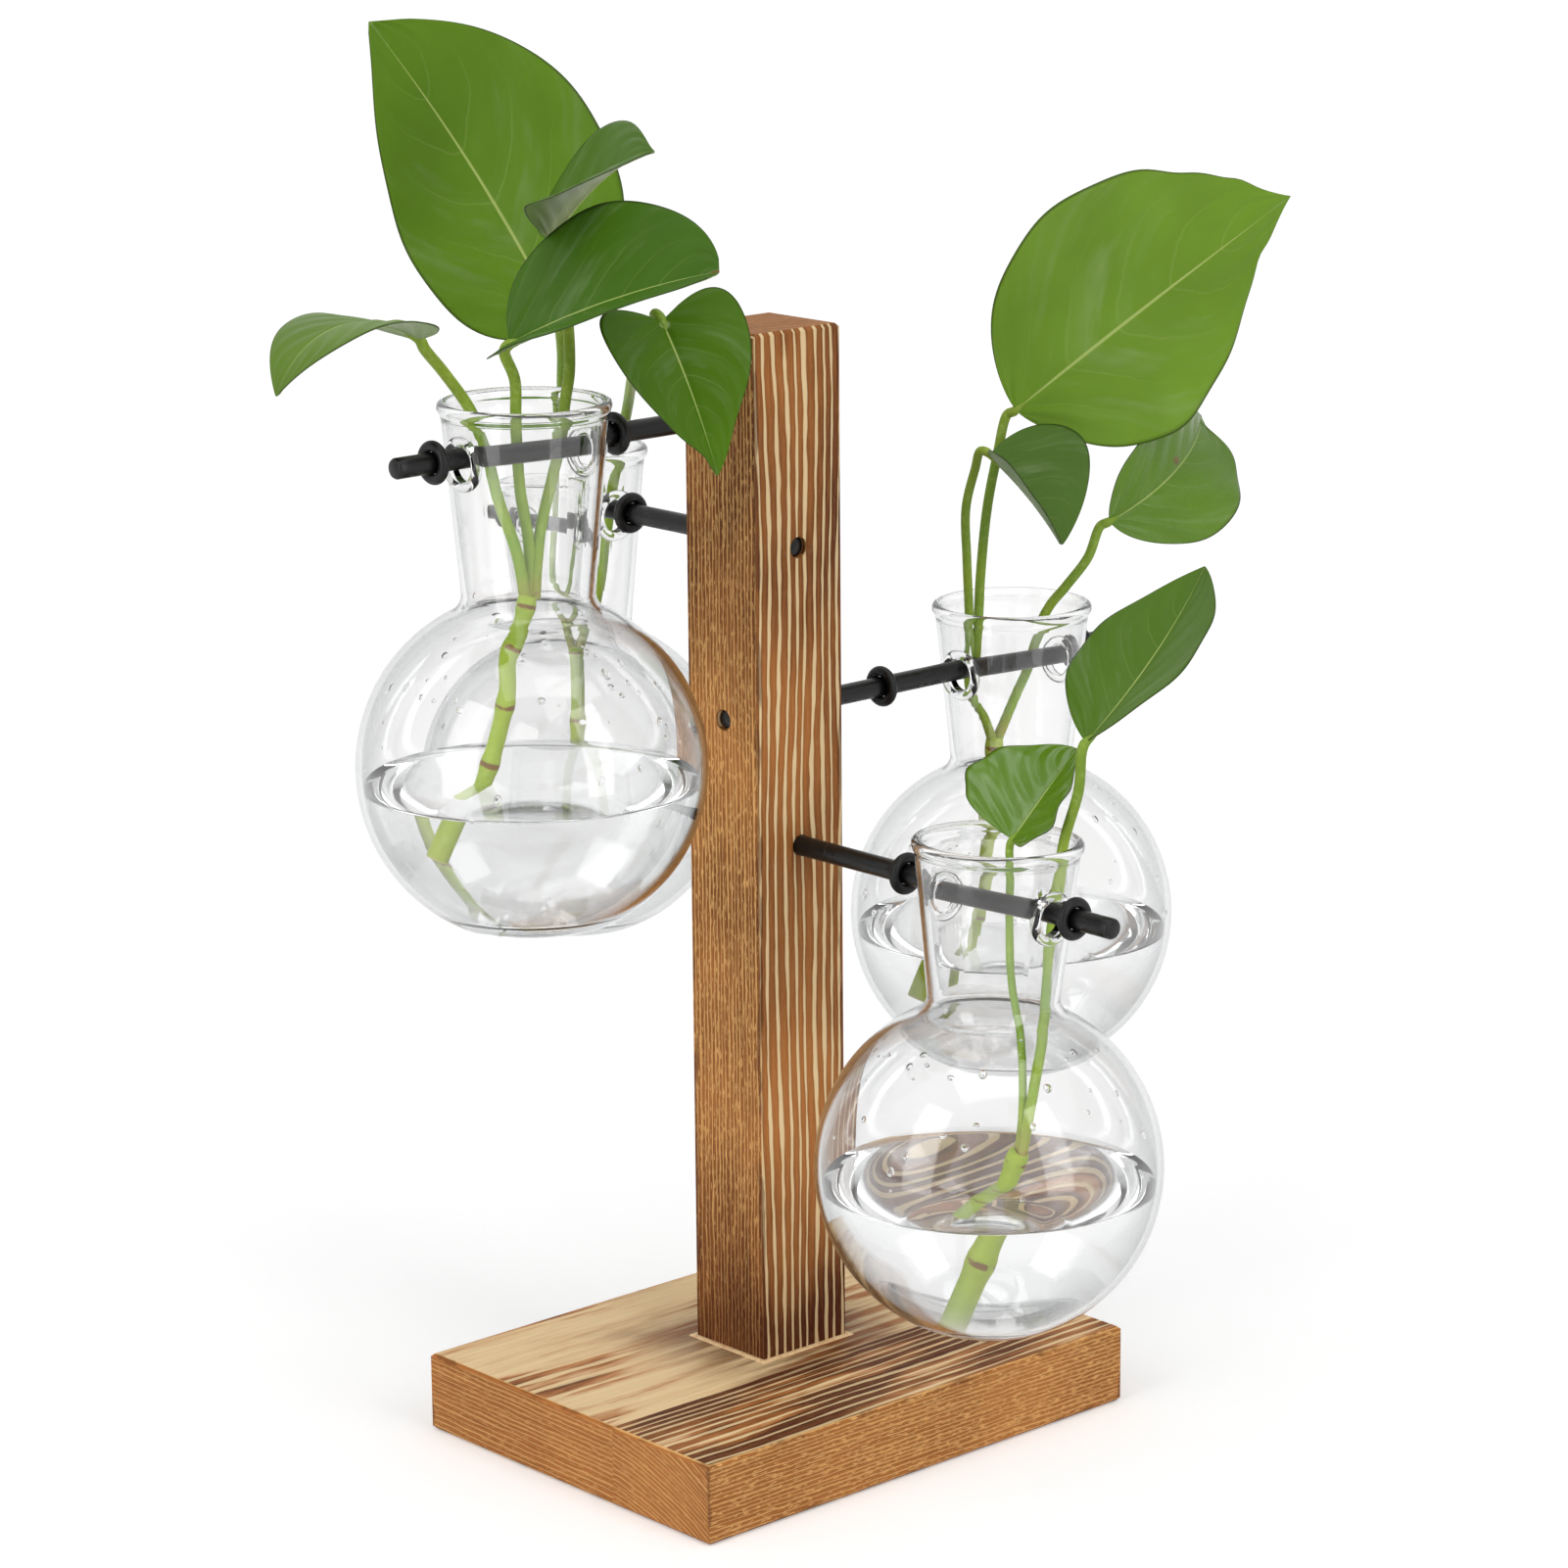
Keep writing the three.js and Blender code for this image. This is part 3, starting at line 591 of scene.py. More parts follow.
def make_wood_fibre():
    """Fine streaks along the grain: Fibre for the tone and Fleck for the pale dashes."""
    graph, given, out = effect_group("wood_fibre", {"Across": 0.0, "Along": 0.0, "Offset": 0.0},
                                     {"Fibre": "Float", "Fleck": "Float"})
    across, along, offset = given["Across"], given["Along"], given["Offset"]
    fine = graph.noise(graph.place(across * 2.6, along * 0.07, offset), detail=4.0, roughness=0.6)
    dash = graph.noise(graph.place(across * 2.4, along * 0.42, offset), detail=2.0, roughness=0.55)
    send(graph, out, {"Fibre": fine, "Fleck": graph.step(dash, 0.54, 0.64)})


def make_torched_tone():
    """The colour, roughness and height of torched wood from its lines, fibre, flecks and scorch."""
    graph, given, out = effect_group("torched_tone", {
        "Line": 0.0, "Ring": 0.5, "Fibre": 0.5, "Fleck": 0.0, "Scorch": 0.3,
        "Pale": WHITE, "Brown": WHITE, "Char": WHITE,
    }, {"Color": "Color", "Roughness": "Float", "Height": "Float"})
    line, fibre, fleck, scorch = (given[name] for name in ("Line", "Fibre", "Fleck", "Scorch"))
    ring_edge = graph.step(abs(given["Ring"] - 0.5), 0.5, 0.05)
    depth = graph.math("ADD", scorch + ring_edge * 0.22, (fibre - 0.5) * -0.9, clamp=True)
    ground = graph.mix(depth, given["Brown"], given["Char"])
    flecked = graph.mix(fleck * graph.fit(depth, 0.0, 1.0, 0.85, 0.5), ground, given["Pale"])
    pale = line * graph.fit(scorch, 0.0, 1.0, 1.0, 0.7)
    send(graph, out, {"Color": graph.mix(pale, flecked, given["Pale"]),
                      "Roughness": graph.fit(depth, 0.0, 1.0, 0.5, 0.68),
                      "Height": line * 0.7 + fibre * 0.5 - fleck * 0.3})


def wood_face(graph, wood, pale, across, along, pitch, wander, wave, width, offset, scorch, fleck, line):
    """The colour, roughness and height of one face of torched wood. across and along lie square to its grain
    and along it, pale is the colour of its lines and flecks, and fleck and line are how strong they are."""
    place = {"Across": across, "Along": along, "Offset": offset}
    lines = effect(graph, "grain_lines", {**place, "Pitch": pitch, "Wander": wander, "Wave": wave,
                                          "Width": width})
    fibre = effect(graph, "wood_fibre", place)
    return effect(graph, "torched_tone", {
        "Line": lines["Line"] * line, "Ring": lines["Ring"], "Fibre": fibre["Fibre"],
        "Fleck": fibre["Fleck"] * fleck, "Scorch": scorch, "Pale": pale, "Brown": wood.brown,
        "Char": wood.char})


def wood_finish(graph, shader, wood, faces, marks):
    """Blends the faces along X, Y and Z by where the surface looks, and chars the colour by each mark."""
    x, _, z = graph.split(graph.take("ShaderNodeTexCoord", "Normal"))
    along_x, along_z = (graph.step(abs(part), 0.75, 0.8) for part in (x, z))
    blended = {}
    for key in ("Color", "Roughness", "Height"):
        blend = graph.mix if key == "Color" else graph.between
        sides = blend(along_x, faces[1][key], faces[0][key])
        blended[key] = blend(along_z, sides, faces[2][key])
    tint = blended["Color"]
    for mark in marks:
        tint = graph.mix(mark, tint, wood.char)
    send(graph, shader, {"Base Color": tint, "Roughness": blended["Roughness"], "Specular IOR Level": 0.18,
                         "Normal": relief(graph, blended["Height"], 0.22 * MM)})


def post_material(wood):
    """Torched wood with its grain along Z, burnt darker at its foot, its head and its arrises."""
    graph, shader, material = new_material("post_wood")
    low, high = [v * 1000 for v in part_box("post")]
    x, y, z = graph.millimetres()
    x = x - (low.x + high.x) / 2
    y = y - (low.y + high.y) / 2
    patches = graph.noise(graph.place(x * 0.03, y * 0.03, z * 0.016))
    foot = graph.step(z, 92.0, 34.0) * 0.26 + graph.step(z, 52.0, 24.0) * 0.4
    scorch = foot + graph.fit(patches, 0.36, 0.64, 0.0, 0.5)
    head = graph.step(z, 175.0, 240.0)
    far_edge = graph.step(x, 2.0, 13.0) * (head + 0.35)
    front = wood_face(graph, wood, wood.cream, x, z, pitch=2.8, wander=7.5, wave=95.0, width=0.2, offset=3.1,
                      scorch=scorch + 0.04 + (head * 0.12 + far_edge * 0.3), fleck=0.06, line=1.0)
    side = wood_face(graph, wood, wood.gold, y, z, pitch=1.3, wander=1.8, wave=70.0, width=0.2, offset=9.7,
                     scorch=scorch + 0.16 + head * 0.26, fleck=graph.fit(z, 26.0, 66.0, 0.2, 1.0),
                     line=graph.fit(z, 26.0, 66.0, 0.3, 0.78))
    end = wood_face(graph, wood, wood.gold, x * 0.35 + y, x, pitch=1.5, wander=2.0, wave=30.0, width=0.16,
                    offset=5.3, scorch=0.4, fleck=0.3, line=0.45)
    from_arris = graph.most((high.x - low.x) / 2 - abs(x), (high.y - low.y) / 2 - abs(y))
    ragged = graph.noise(graph.place(x, y, z * 0.12), 0.6, 3.0)
    burnt = graph.step(from_arris - graph.fit(ragged, 0.35, 0.65, -0.5, 1.1), 0.9, 0.1)
    burnt = burnt * graph.step(ragged, 0.4, 0.55)
    wood_finish(graph, shader, wood, (side, front, end), [burnt * 0.6])
    return material


def board_material(wood, name, offset, pitch, wander, bare, slant, bow):
    """Torched wood with its grain along X. bare is how much of the top the flame left pale, and slant and bow
    tilt and bend the growth lines on the short ends."""
    graph, shader, material = new_material(name)
    x, y, z = graph.millimetres()
    streak = graph.noise(graph.place(x * 0.022, y * 0.17, offset), 1.0, 4.0, 0.6)
    patches = graph.noise(graph.place(x * 0.02, y * 0.035, offset + 4.0), detail=1.0)
    flame = streak + (patches - 0.5) * 0.8
    top = wood_face(graph, wood, wood.cream, y, x, pitch, wander, wave=120.0, width=0.2, offset=offset,
                    scorch=graph.step(flame, bare, bare + 0.24) * 0.84, fleck=0.1, line=0.95)
    pale = graph.mix(graph.step(streak, 0.38, 0.85), wood.cream, wood.brown)
    top["Color"] = graph.mix(graph.step(flame, bare + 0.08, bare - 0.1) * 0.9, top["Color"], pale)
    side_cloud = graph.noise(graph.place(x * 0.03, y * 0.03, offset), detail=1.0)
    side_scorch = graph.fit(side_cloud, 0.35, 0.65, 0.0, 0.24)
    long_side = wood_face(graph, wood, wood.gold, z, x, pitch=1.15, wander=1.5, wave=90.0, width=0.22,
                          offset=offset + 2.0, scorch=side_scorch - 0.02, fleck=1.0, line=0.72)
    from_glue = GLUE_LINE - y
    fall = from_glue * slant + from_glue * from_glue * bow
    end = wood_face(graph, wood, wood.gold, z + fall, y, pitch=1.3, wander=1.5, wave=60.0, width=0.2,
                    offset=offset + 6.0, scorch=side_scorch, fleck=0.4, line=0.62)
    post_low, post_high = [v * 1000 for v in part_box("post")]
    beside_post = graph.most(abs(x - (post_low.x + post_high.x) / 2) - (post_high.x - post_low.x) / 2,
                             abs(y - (post_low.y + post_high.y) / 2) - (post_high.y - post_low.y) / 2)
    # The board turns darker towards char within 26 mm of the post's sides, varied by the streaks.
    near_post_darkening = graph.step(beside_post, 26.0, 0.0) * graph.fit(streak, 0.32, 0.52, 0.25, 1.0)
    corner = board_corner()
    reach_x = corner.x - abs(x)
    reach_y = corner.y - abs(y)
    reach_z = graph.least(corner.z - z, z)
    from_arris = graph.most(graph.least(reach_x, reach_y),
                            graph.least(graph.most(reach_x, reach_y), reach_z))
    ragged = graph.noise(graph.place(x, y, z), 0.13, 3.0)
    burnt = graph.step(from_arris - graph.fit(ragged, 0.35, 0.65, -0.8, 0.6), 0.8, 0.1)
    wood_finish(graph, shader, wood, (end, long_side, top), [near_post_darkening * 0.7, burnt * 0.5])
    return material


def board_corner():
    """The board's highest corner, in millimetres."""
    corners = (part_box(node)[1] for node in ("base_front_strip", "base_rear_strip"))
    return Vector(max(values) for values in zip(*corners)) * 1000


def assign(node, material):
    """Gives a CAD node's object a better material."""
    obj = frame["nodes"][node]
    for slot in obj.material_slots:
        slot.material = material
    if not obj.material_slots:
        obj.data.materials.append(material)


def lip_material(wood):
    """Pale unburnt wood."""
    graph, shader, material = new_material("foot_lip_wood")
    cloud = graph.noise(graph.object_place(), 400.0, 4.0)
    tint = graph.mix(graph.fit(cloud, 0.35, 0.7, 0.0, 0.6), wood.cream, wood.brown)
    send(graph, shader, {"Base Color": tint, "Roughness": 0.6, "Normal": relief(graph, cloud, 0.1 * MM)})
    return material


def foot_lip(wood):
    """A low raised lip on the board round the post's foot, where the flame didn't reach."""
    low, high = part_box("post")
    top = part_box("base_rear_strip")[1].z
    gap = 0.3 * MM
    sunk = -0.05 * MM
    section = [(-0.25 * MM, sunk), (-0.25 * MM, wood.lip_height * 0.7),
               (wood.lip_width * 0.35, wood.lip_height), (wood.lip_width * 0.8, wood.lip_height * 0.6),
               (wood.lip_width, sunk)]
    corners = [(low.x, low.y, -1, -1), (high.x, low.y, 1, -1), (high.x, high.y, 1, 1), (low.x, high.y, -1, 1)]
    points = [(x + out_x * (gap + across), y + out_y * (gap + across), top + rise)
              for x, y, out_x, out_y in corners for across, rise in section]
    count = len(section)
    faces = []
    for corner in range(4):
        here = corner * count
        after = (corner + 1) % 4 * count
        for i in range(count):
            j = (i + 1) % count
            faces.append((here + i, after + i, after + j, here + j))
    made = mesh_object("foot_lip", points, faces, smooth=False)
    outward(made)
    return made


# Rods, rings and screws

def coated_material(name, base, roughness, wear):
    """A black coat or rubber with faint scuffs."""
    graph, shader, material = new_material(name)
    place = graph.object_place()
    scuffs = graph.noise(place, 900.0, 4.0, 0.65)
    cloud = graph.noise(place, 120.0, 2.0)
    pale = [min(1.0, v * 3.2 + 0.01) for v in base]
    send(graph, shader, {"Base Color": graph.mix(graph.step(scuffs, 0.58, 0.75) * wear, base, pale),
                         "Roughness": graph.fit(cloud, 0.3, 0.7, roughness - 0.06, roughness + 0.08),
                         "Specular IOR Level": 0.3, "Normal": relief(graph, scuffs, 0.02 * MM)})
    return material


def steel_material():
    """Plain screw steel with fine turning marks."""
    graph, shader, material = new_material("screw_steel")
    x, y, z = graph.millimetres()
    marks = graph.noise(graph.place(x * 0.4, y * 0.4, z * 6.0), 1.0, 3.0)
    send(graph, shader, {"Base Color": graph.mix(marks, tone("#b9b8b0"), tone("#8f8d84")),
                         "Roughness": graph.fit(marks, 0.3, 0.7, 0.28, 0.45), "Metallic": 1.0})
    return material


def sweep_tree():
    """Geometry Nodes: sweeps a round section along the object's own lines, as thick as their thickness."""
    graph, given = geometry_tree("swept_section", {"Sides": ("Int", 24)})
    line = graph.take("GeometryNodeMeshToCurve", 0, {"Mesh": given["Geometry"]})
    section = graph.take("GeometryNodeCurvePrimitiveCircle", 0, {"Resolution": given["Sides"], "Radius": 1.0})
    thickness = graph.take("GeometryNodeInputNamedAttribute", 0, {"Name": "thickness"})
    swept = graph.take("GeometryNodeCurveToMesh", 0, {"Curve": line, "Profile Curve": section,
                                                      "Scale": thickness, "Fill Caps": True})
    return finished_tree(graph, given, swept)


def lines_object(name, lines):
    """An object of open lines, each a dict of points in metres and one value a point for each attribute."""
    mesh = bpy.data.meshes.new(name)
    points = np.concatenate([line["points"] for line in lines])
    edges = []
    start = 0
    for line in lines:
        count = len(line["points"])
        edges += [(start + i, start + i + 1) for i in range(count - 1)]
        start += count
    mesh.from_pydata([tuple(p) for p in points], edges, [])
    for key in lines[0]:
        if key != "points":
            attribute = mesh.attributes.new(key, "FLOAT", "POINT")
            values = np.concatenate([line[key] for line in lines]).astype(np.float32)
            attribute.data.foreach_set("value", values)
    return linked(name, mesh)


def with_nodes(obj, tree, inputs, name):
    """Runs a Geometry Nodes tree with its inputs set, and returns the result as a plain mesh object."""
    modifier = obj.modifiers.new("build", "NODES")
    modifier.node_group = tree
    for item in tree.interface.items_tree:
        if item.item_type == "SOCKET" and item.in_out == "INPUT" and item.name in inputs:
            modifier[item.identifier] = inputs[item.name]
    return baked(obj, name)


def rod_points(arm):
    """The rod's start, end and radius, from its CAD node."""
    low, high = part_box(f"{arm}_rod")
    out = Vector(FLASKS[arm]["out"])
    middle = (low + high) / 2
    half = abs((high - low).dot(out)) / 2
    radius = (high.z - low.z) / 2
    return middle - out * half, middle + out * half, radius


def rod_piece(arm, tree, material):
    """A round rod with a small rounded chamfer at both ends."""
    start, end, radius = rod_points(arm)
    out = (end - start).normalized()
    chamfer = 0.6 * MM
    stations = [(0, radius - chamfer), (0.25 * chamfer, radius - 0.45 * chamfer),
                (chamfer, radius), (6 * chamfer, radius)]
    length = (end - start).length
    stations += [(length - along, thick) for along, thick in reversed(stations)]
    line = {"points": np.array([start + out * along for along, _ in stations]),
            "thickness": np.array([thick for _, thick in stations])}
    made = with_nodes(lines_object(f"{arm}_rod_line", [line]), tree,
                      {"Sides": SMALL_SIDES, "Finish": material}, f"{arm}_black_rod")
    outward(made, 40)
    return made


def ring_tree():
    """Geometry Nodes: a rubber ring on each point of the object, square to the direction given."""
    graph, given = geometry_tree("rubber_rings", {
        "Middle Radius": ("Float", RING_MIDDLE * MM), "Section Radius": ("Float", RING_SECTION * MM),
        "Direction": ("Vector", (0.0, 0.0, 1.0))})
    points = graph.take("GeometryNodeMeshToPoints", 0, {"Mesh": given["Geometry"]})
    path = graph.take("GeometryNodeCurvePrimitiveCircle", 0,
                      {"Resolution": 64, "Radius": given["Middle Radius"]})
    section = graph.take("GeometryNodeCurvePrimitiveCircle", 0,
                         {"Resolution": 24, "Radius": given["Section Radius"]})
    ring = graph.take("GeometryNodeCurveToMesh", 0, {"Curve": path, "Profile Curve": section})
    turn = graph.take("FunctionNodeAlignRotationToVector", 0, {"Vector": given["Direction"]}, axis="Z")
    placed = graph.take("GeometryNodeInstanceOnPoints", 0,
                        {"Points": points, "Instance": ring, "Rotation": turn})
    return finished_tree(graph, given, placed)


# Flasks, water and droplets

def neck_radius(flask, height):
    """The neck's outer radius at a height above the rod's axis, in millimetres."""
    low = BULB_RADIUS - flask["bulb_drop"]
    high = flask["rim_rise"] - BEAD_HEIGHT
    return THROAT_RADIUS + (MOUTH_RADIUS - THROAT_RADIUS) * (height - low) / (high - low)


def shoulder(flask, radius):
    """Centre of the fillet between bulb and neck, in millimetres from the bulb's centre: it touches both."""
    along = 0.0
    for _ in range(20):
        across = neck_radius(flask, along - flask["bulb_drop"]) + radius
        along = math.sqrt((BULB_RADIUS + radius) ** 2 - across**2)
    return across, along


def foot_height(flask):
    """How high the flask's flat foot lies above the rod's axis, in millimetres: below zero."""
    return -flask["bulb_drop"] - math.sqrt(BULB_RADIUS**2 - flask["foot"] ** 2)


def flask_outline(flask):
    """The glass's outline, from the foot up the outside, over the bead and down the inside."""
    centre = -flask["bulb_drop"]
    rim = flask["rim_rise"]
    inner = BULB_RADIUS - GLASS_WALL
    fillet = 5.0
    neck_angle = 183
    across, along = shoulder(flask, fillet)
    turn = math.degrees(math.atan2(along, across))
    foot = foot_height(flask)
    floor = foot + FLOOR_THICKNESS
    foot_angle = -math.degrees(math.acos(flask["foot"] / BULB_RADIUS))
    floor_angle = math.degrees(math.asin((floor - centre) / inner))
    at = (across, centre + along)
    outside = [(0, foot + 0.5), (flask["foot"] * 0.6, foot + 0.25), (flask["foot"] * 0.9, foot)]
    outside += arc((0, centre), BULB_RADIUS, foot_angle + 2, turn, 44)
    outside += arc(at, fillet, turn + 180, neck_angle, 8)
    bead = [(MOUTH_RADIUS - 0.2, rim - 4.4), (MOUTH_RADIUS, rim - BEAD_HEIGHT),
            (MOUTH_RADIUS + BEAD_RADIUS, rim - 2.0), (MOUTH_RADIUS + BEAD_RADIUS, rim - 0.5),
            (MOUTH_RADIUS - 0.1, rim + 0.15), (MOUTH_RADIUS - 1.4, rim - 0.1),
            (MOUTH_RADIUS - GLASS_WALL - 0.2, rim - 1.6), (MOUTH_RADIUS - GLASS_WALL, rim - 4.4)]
    inside = arc(at, fillet + GLASS_WALL, neck_angle, turn + 180, 8)
    inside += arc((0, centre), inner, turn, floor_angle + 5, 44)
    floor_edge = inner * math.cos(math.radians(floor_angle))
    inside += [(floor_edge * 0.93, floor + 0.25), (floor_edge * 0.75, floor), (0, floor)]
    return outside + rounded(bead, 3) + inside


def hang(flask, arm):
    """The matrix that hangs on its rod a body made about the flask's own axis, from the rod's height."""
    lean = Matrix.Rotation(math.radians(flask["lean"]), 4, Vector(flask["out"]))
    return Matrix.Translation(flask_middle(arm)) @ lean


def cut_with(obj, others, operation):
    """Adds a boolean modifier for each of the others."""
    for other in others:
        modifier = obj.modifiers.new("cut", "BOOLEAN")
        modifier.operation = operation
        modifier.solver = "EXACT"
        modifier.object = other


def flask_piece(arm):
    """The blown flask with a lipped eye on each side of its neck for the rod."""
    flask = FLASKS[arm]
    place = hang(flask, arm)
    glass = turned(f"{arm}_glass_body", flask_outline(flask), FLASK_SIDES, place)
    out = Vector(flask["out"])
    aim = out.to_track_quat("Z", "Y").to_matrix().to_4x4()
    offset = neck_radius(flask, EYE_HEIGHT)
    lips = []
    for side in (-1, 1):
        centre = Matrix.Translation((out * offset * side + Vector((0, 0, EYE_HEIGHT))) * MM)
        outline = arc((EYE_RADIUS + LIP_RADIUS * 0.8, 0), LIP_RADIUS, 0, 360, 20)[:-1]
        lips.append(turned(f"{arm}_lip", outline, SMALL_SIDES, place @ centre @ aim))
    reach = 2 * MOUTH_RADIUS
    bore_outline = [(0, -reach), (EYE_RADIUS, -reach), (EYE_RADIUS, reach), (0, reach)]
    bore = turned(f"{arm}_bore", bore_outline, SMALL_SIDES,
                  place @ Matrix.Translation((0, 0, EYE_HEIGHT * MM)) @ aim)
    cut_with(glass, lips, "UNION")
    cut_with(glass, [bore], "DIFFERENCE")
    made = baked(glass, f"{arm}_glass")
    for tool in (*lips, bore):
        bpy.data.objects.remove(tool)
    outward(made, 38)
    return made


def glass_material(name, tint, edge, ior):
    """Clear glass or water: painted shade makes it darker where the wall is seen edge on, and it is open to
    the lamps' light.
    """
    graph, shader, material = new_material(name)
    facing = graph.take("ShaderNodeLayerWeight", "Facing", {"Blend": 0.5})
    # Painted shade: the edge colour is mixed in where the wall is seen edge on, in place of the dark edges
    # that refraction shows.
    send(graph, shader, {"Base Color": graph.mix(facing ** 3.0, tint, edge), "Roughness": 0.0, "IOR": ior,
                         "Transmission Weight": 1.0})
    clear = graph.take("ShaderNodeBsdfTransparent", 0, {"Color": (0.96, 0.97, 0.97)})
    shadow = graph.take("ShaderNodeLightPath", "Is Shadow Ray")
    graph.surface(graph.choose(shadow, shader.outputs[0], clear))
    return material


def water_piece(arm, level):
    """The water: it fills the bulb to the level below the bulb's centre, and climbs the glass a little. Its
    rows of points follow the leaning flask at the floor and turn level towards the top."""
    flask = FLASKS[arm]
    sides = FLASK_SIDES
    gap = 0.1
    climb = 1.0
    climb_width = 2.6
    radius = BULB_RADIUS - GLASS_WALL - gap
    lean = Matrix.Rotation(math.radians(flask["lean"]), 3, Vector(flask["out"]))
    floor = foot_height(flask) + FLOOR_THICKNESS + gap + flask["bulb_drop"]
    low_angle = math.asin(floor / radius) + math.radians(6)
    top_angle = -math.asin((level - climb) / radius)
    edge = radius * math.cos(top_angle)

    upright = Matrix.Identity(3)

    def row(reach, height, turn):
        return [turn @ Vector((reach * math.cos(a), reach * math.sin(a), height))
                for a in round_angles(sides)]

    rows = [row(radius * math.cos(low_angle) * share, floor, lean) for share in (0.6, 0.9)]
    for share in np.linspace(0, 1, 30):
        angle = low_angle + (top_angle - low_angle) * share
        rows.append(row(radius * math.cos(angle), radius * math.sin(angle), upright.lerp(lean, 1 - share)))
    for step in range(1, 9):
        rows.append(row(edge - climb_width * step / 8, -level + climb * (1 - step / 8) ** 2.2, upright))
    rows += [row(edge * share, -level, upright) for share in (0.7, 0.35)]
    home = flask_middle(arm) + (lean @ Vector((0, 0, -flask["bulb_drop"]))) * MM
    points = [home + point * MM for around in rows for point in around]
    points += [home + lean @ Vector((0, 0, floor)) * MM, home + Vector((0, 0, -level)) * MM]
    faces = []
    for i in range(sides):
        j = (i + 1) % sides
        faces.append((len(points) - 2, j, i))
        for low in range(0, (len(rows) - 1) * sides, sides):
            faces.append((low + i, low + j, low + sides + j, low + sides + i))
        last = (len(rows) - 1) * sides
        faces.append((last + i, last + j, len(points) - 1))
    made = mesh_object(f"{arm}_water", points, faces)
    outward(made, 50)
    return made


def droplet_tree():
    """Geometry Nodes: flat drops strewn over a surface."""
    graph, given = geometry_tree("droplets", {
        "Density": ("Float", 2000.0), "Least": ("Float", 0.0003), "Most": ("Float", 0.001),
        "Seed": ("Int", 1)})
    strewn = graph.outputs(graph.node("GeometryNodeDistributePointsOnFaces", {
        "Mesh": given["Geometry"], "Density": given["Density"], "Seed": given["Seed"]}))
    size = graph.take("FunctionNodeRandomValue", 1,
                      {2: given["Least"], 3: given["Most"], "Seed": given["Seed"]}, data_type="FLOAT")
    stretch = graph.take("FunctionNodeRandomValue", 1, {2: 0.7, 3: 1.5, "Seed": 7}, data_type="FLOAT")
    drop = graph.take("GeometryNodeMeshUVSphere", 0, {"Segments": 12, "Rings": 8, "Radius": 1.0})
    placed = graph.take("GeometryNodeInstanceOnPoints", 0, {
        "Points": strewn["Points"], "Instance": drop, "Rotation": strewn["Rotation"],
        "Scale": graph.place(size, size * stretch, size * 0.45)})
    return finished_tree(graph, given, placed)


def wetted_surface(arm, name):
    """The inner wall above the water, drawn in a little, as an open sheet for the drops to sit on."""
    flask = FLASKS[arm]
    outline = flask_outline(flask)
    top = max(range(len(outline)), key=lambda i: outline[i][1])
    inner = [p for p in outline[top:] if -flask["bulb_drop"] < p[1] < flask["rim_rise"] - 14
             and p[0] > THROAT_RADIUS * 0.8]
    drawn_in = [(radius - 0.35, height) for radius, height in inner]
    sheet = turned(name, [(0, drawn_in[0][1]), *drawn_in, (0, drawn_in[-1][1])], SMALL_SIDES,
                   hang(flask, arm))
    work = bmesh.new()
    work.from_mesh(sheet.data)
    flat = [f for f in work.faces if len(f.verts) == 3]
    bmesh.ops.delete(work, geom=flat, context="FACES")
    work.to_mesh(sheet.data)
    work.free()
    return sheet


# Cuttings

def leaf_frame(leaf):
    """The directions along a leaf's midrib at its base, across the blade, and out of its upper face."""
    heading, rise, roll = (math.radians(leaf[k]) for k in ("heading", "rise", "roll"))
    along = np.array((math.cos(rise) * math.cos(heading), math.cos(rise) * math.sin(heading), math.sin(rise)))
    level = np.array((-math.sin(heading), math.cos(heading), 0.0))
    up = np.cross(along, level)
    across = level * math.cos(roll) + up * math.sin(roll)
    face = up * math.cos(roll) - level * math.sin(roll)
    return along, across, face


def midrib(leaf, u):
    """The midrib's places and directions at shares u of its length: it droops and bends at a steady rate."""
    along, across, face = leaf_frame(leaf)

    def tangent(share):
        droop = np.radians(leaf["droop"]) * share[..., None]
        bend = np.radians(leaf["bend"]) * share[..., None]
        return (np.cos(droop) * np.cos(bend) * along + np.cos(droop) * np.sin(bend) * across
                - np.sin(droop) * face)

    steps = 24
    shares = u[:, None] * (np.arange(steps) + 0.5) / steps
    places = np.array(leaf["seat"]) + tangent(shares).sum(1) * (leaf["length"] * u / steps)[:, None]
    bend = np.radians(leaf["bend"]) * u[:, None]
    side = across * np.cos(bend) - along * np.sin(bend)
    ahead = tangent(u)
    return places, ahead, side, np.cross(ahead, side)


def blade_share(leaf, u):
    """The blade's width at shares u of its length, as a share of its full width."""
    power = math.log(0.5) / math.log(leaf["widest"])
    return np.sin(np.pi * u**power) ** leaf["full"] * (1 - leaf["pinch"] * u**6)


# Side veins: how many there are, and how far and how curved they sweep towards the tip
VEINS = 5.5
VEIN_SWEEP = 0.42
VEIN_CURVE = 1.35

# Relief of a blade, in millimetres: the swelling between its veins, and its midrib's groove on either face
QUILT_HEIGHT = 0.16
GROOVE_WIDTH = 0.7
UPPER_GROOVE = 0.3
UNDER_GROOVE = 0.45


def vein_phase(u, v):
    """Where a point lies between two side veins: whole numbers are on a vein."""
    return (u - VEIN_SWEEP * np.abs(v) ** VEIN_CURVE) * VEINS


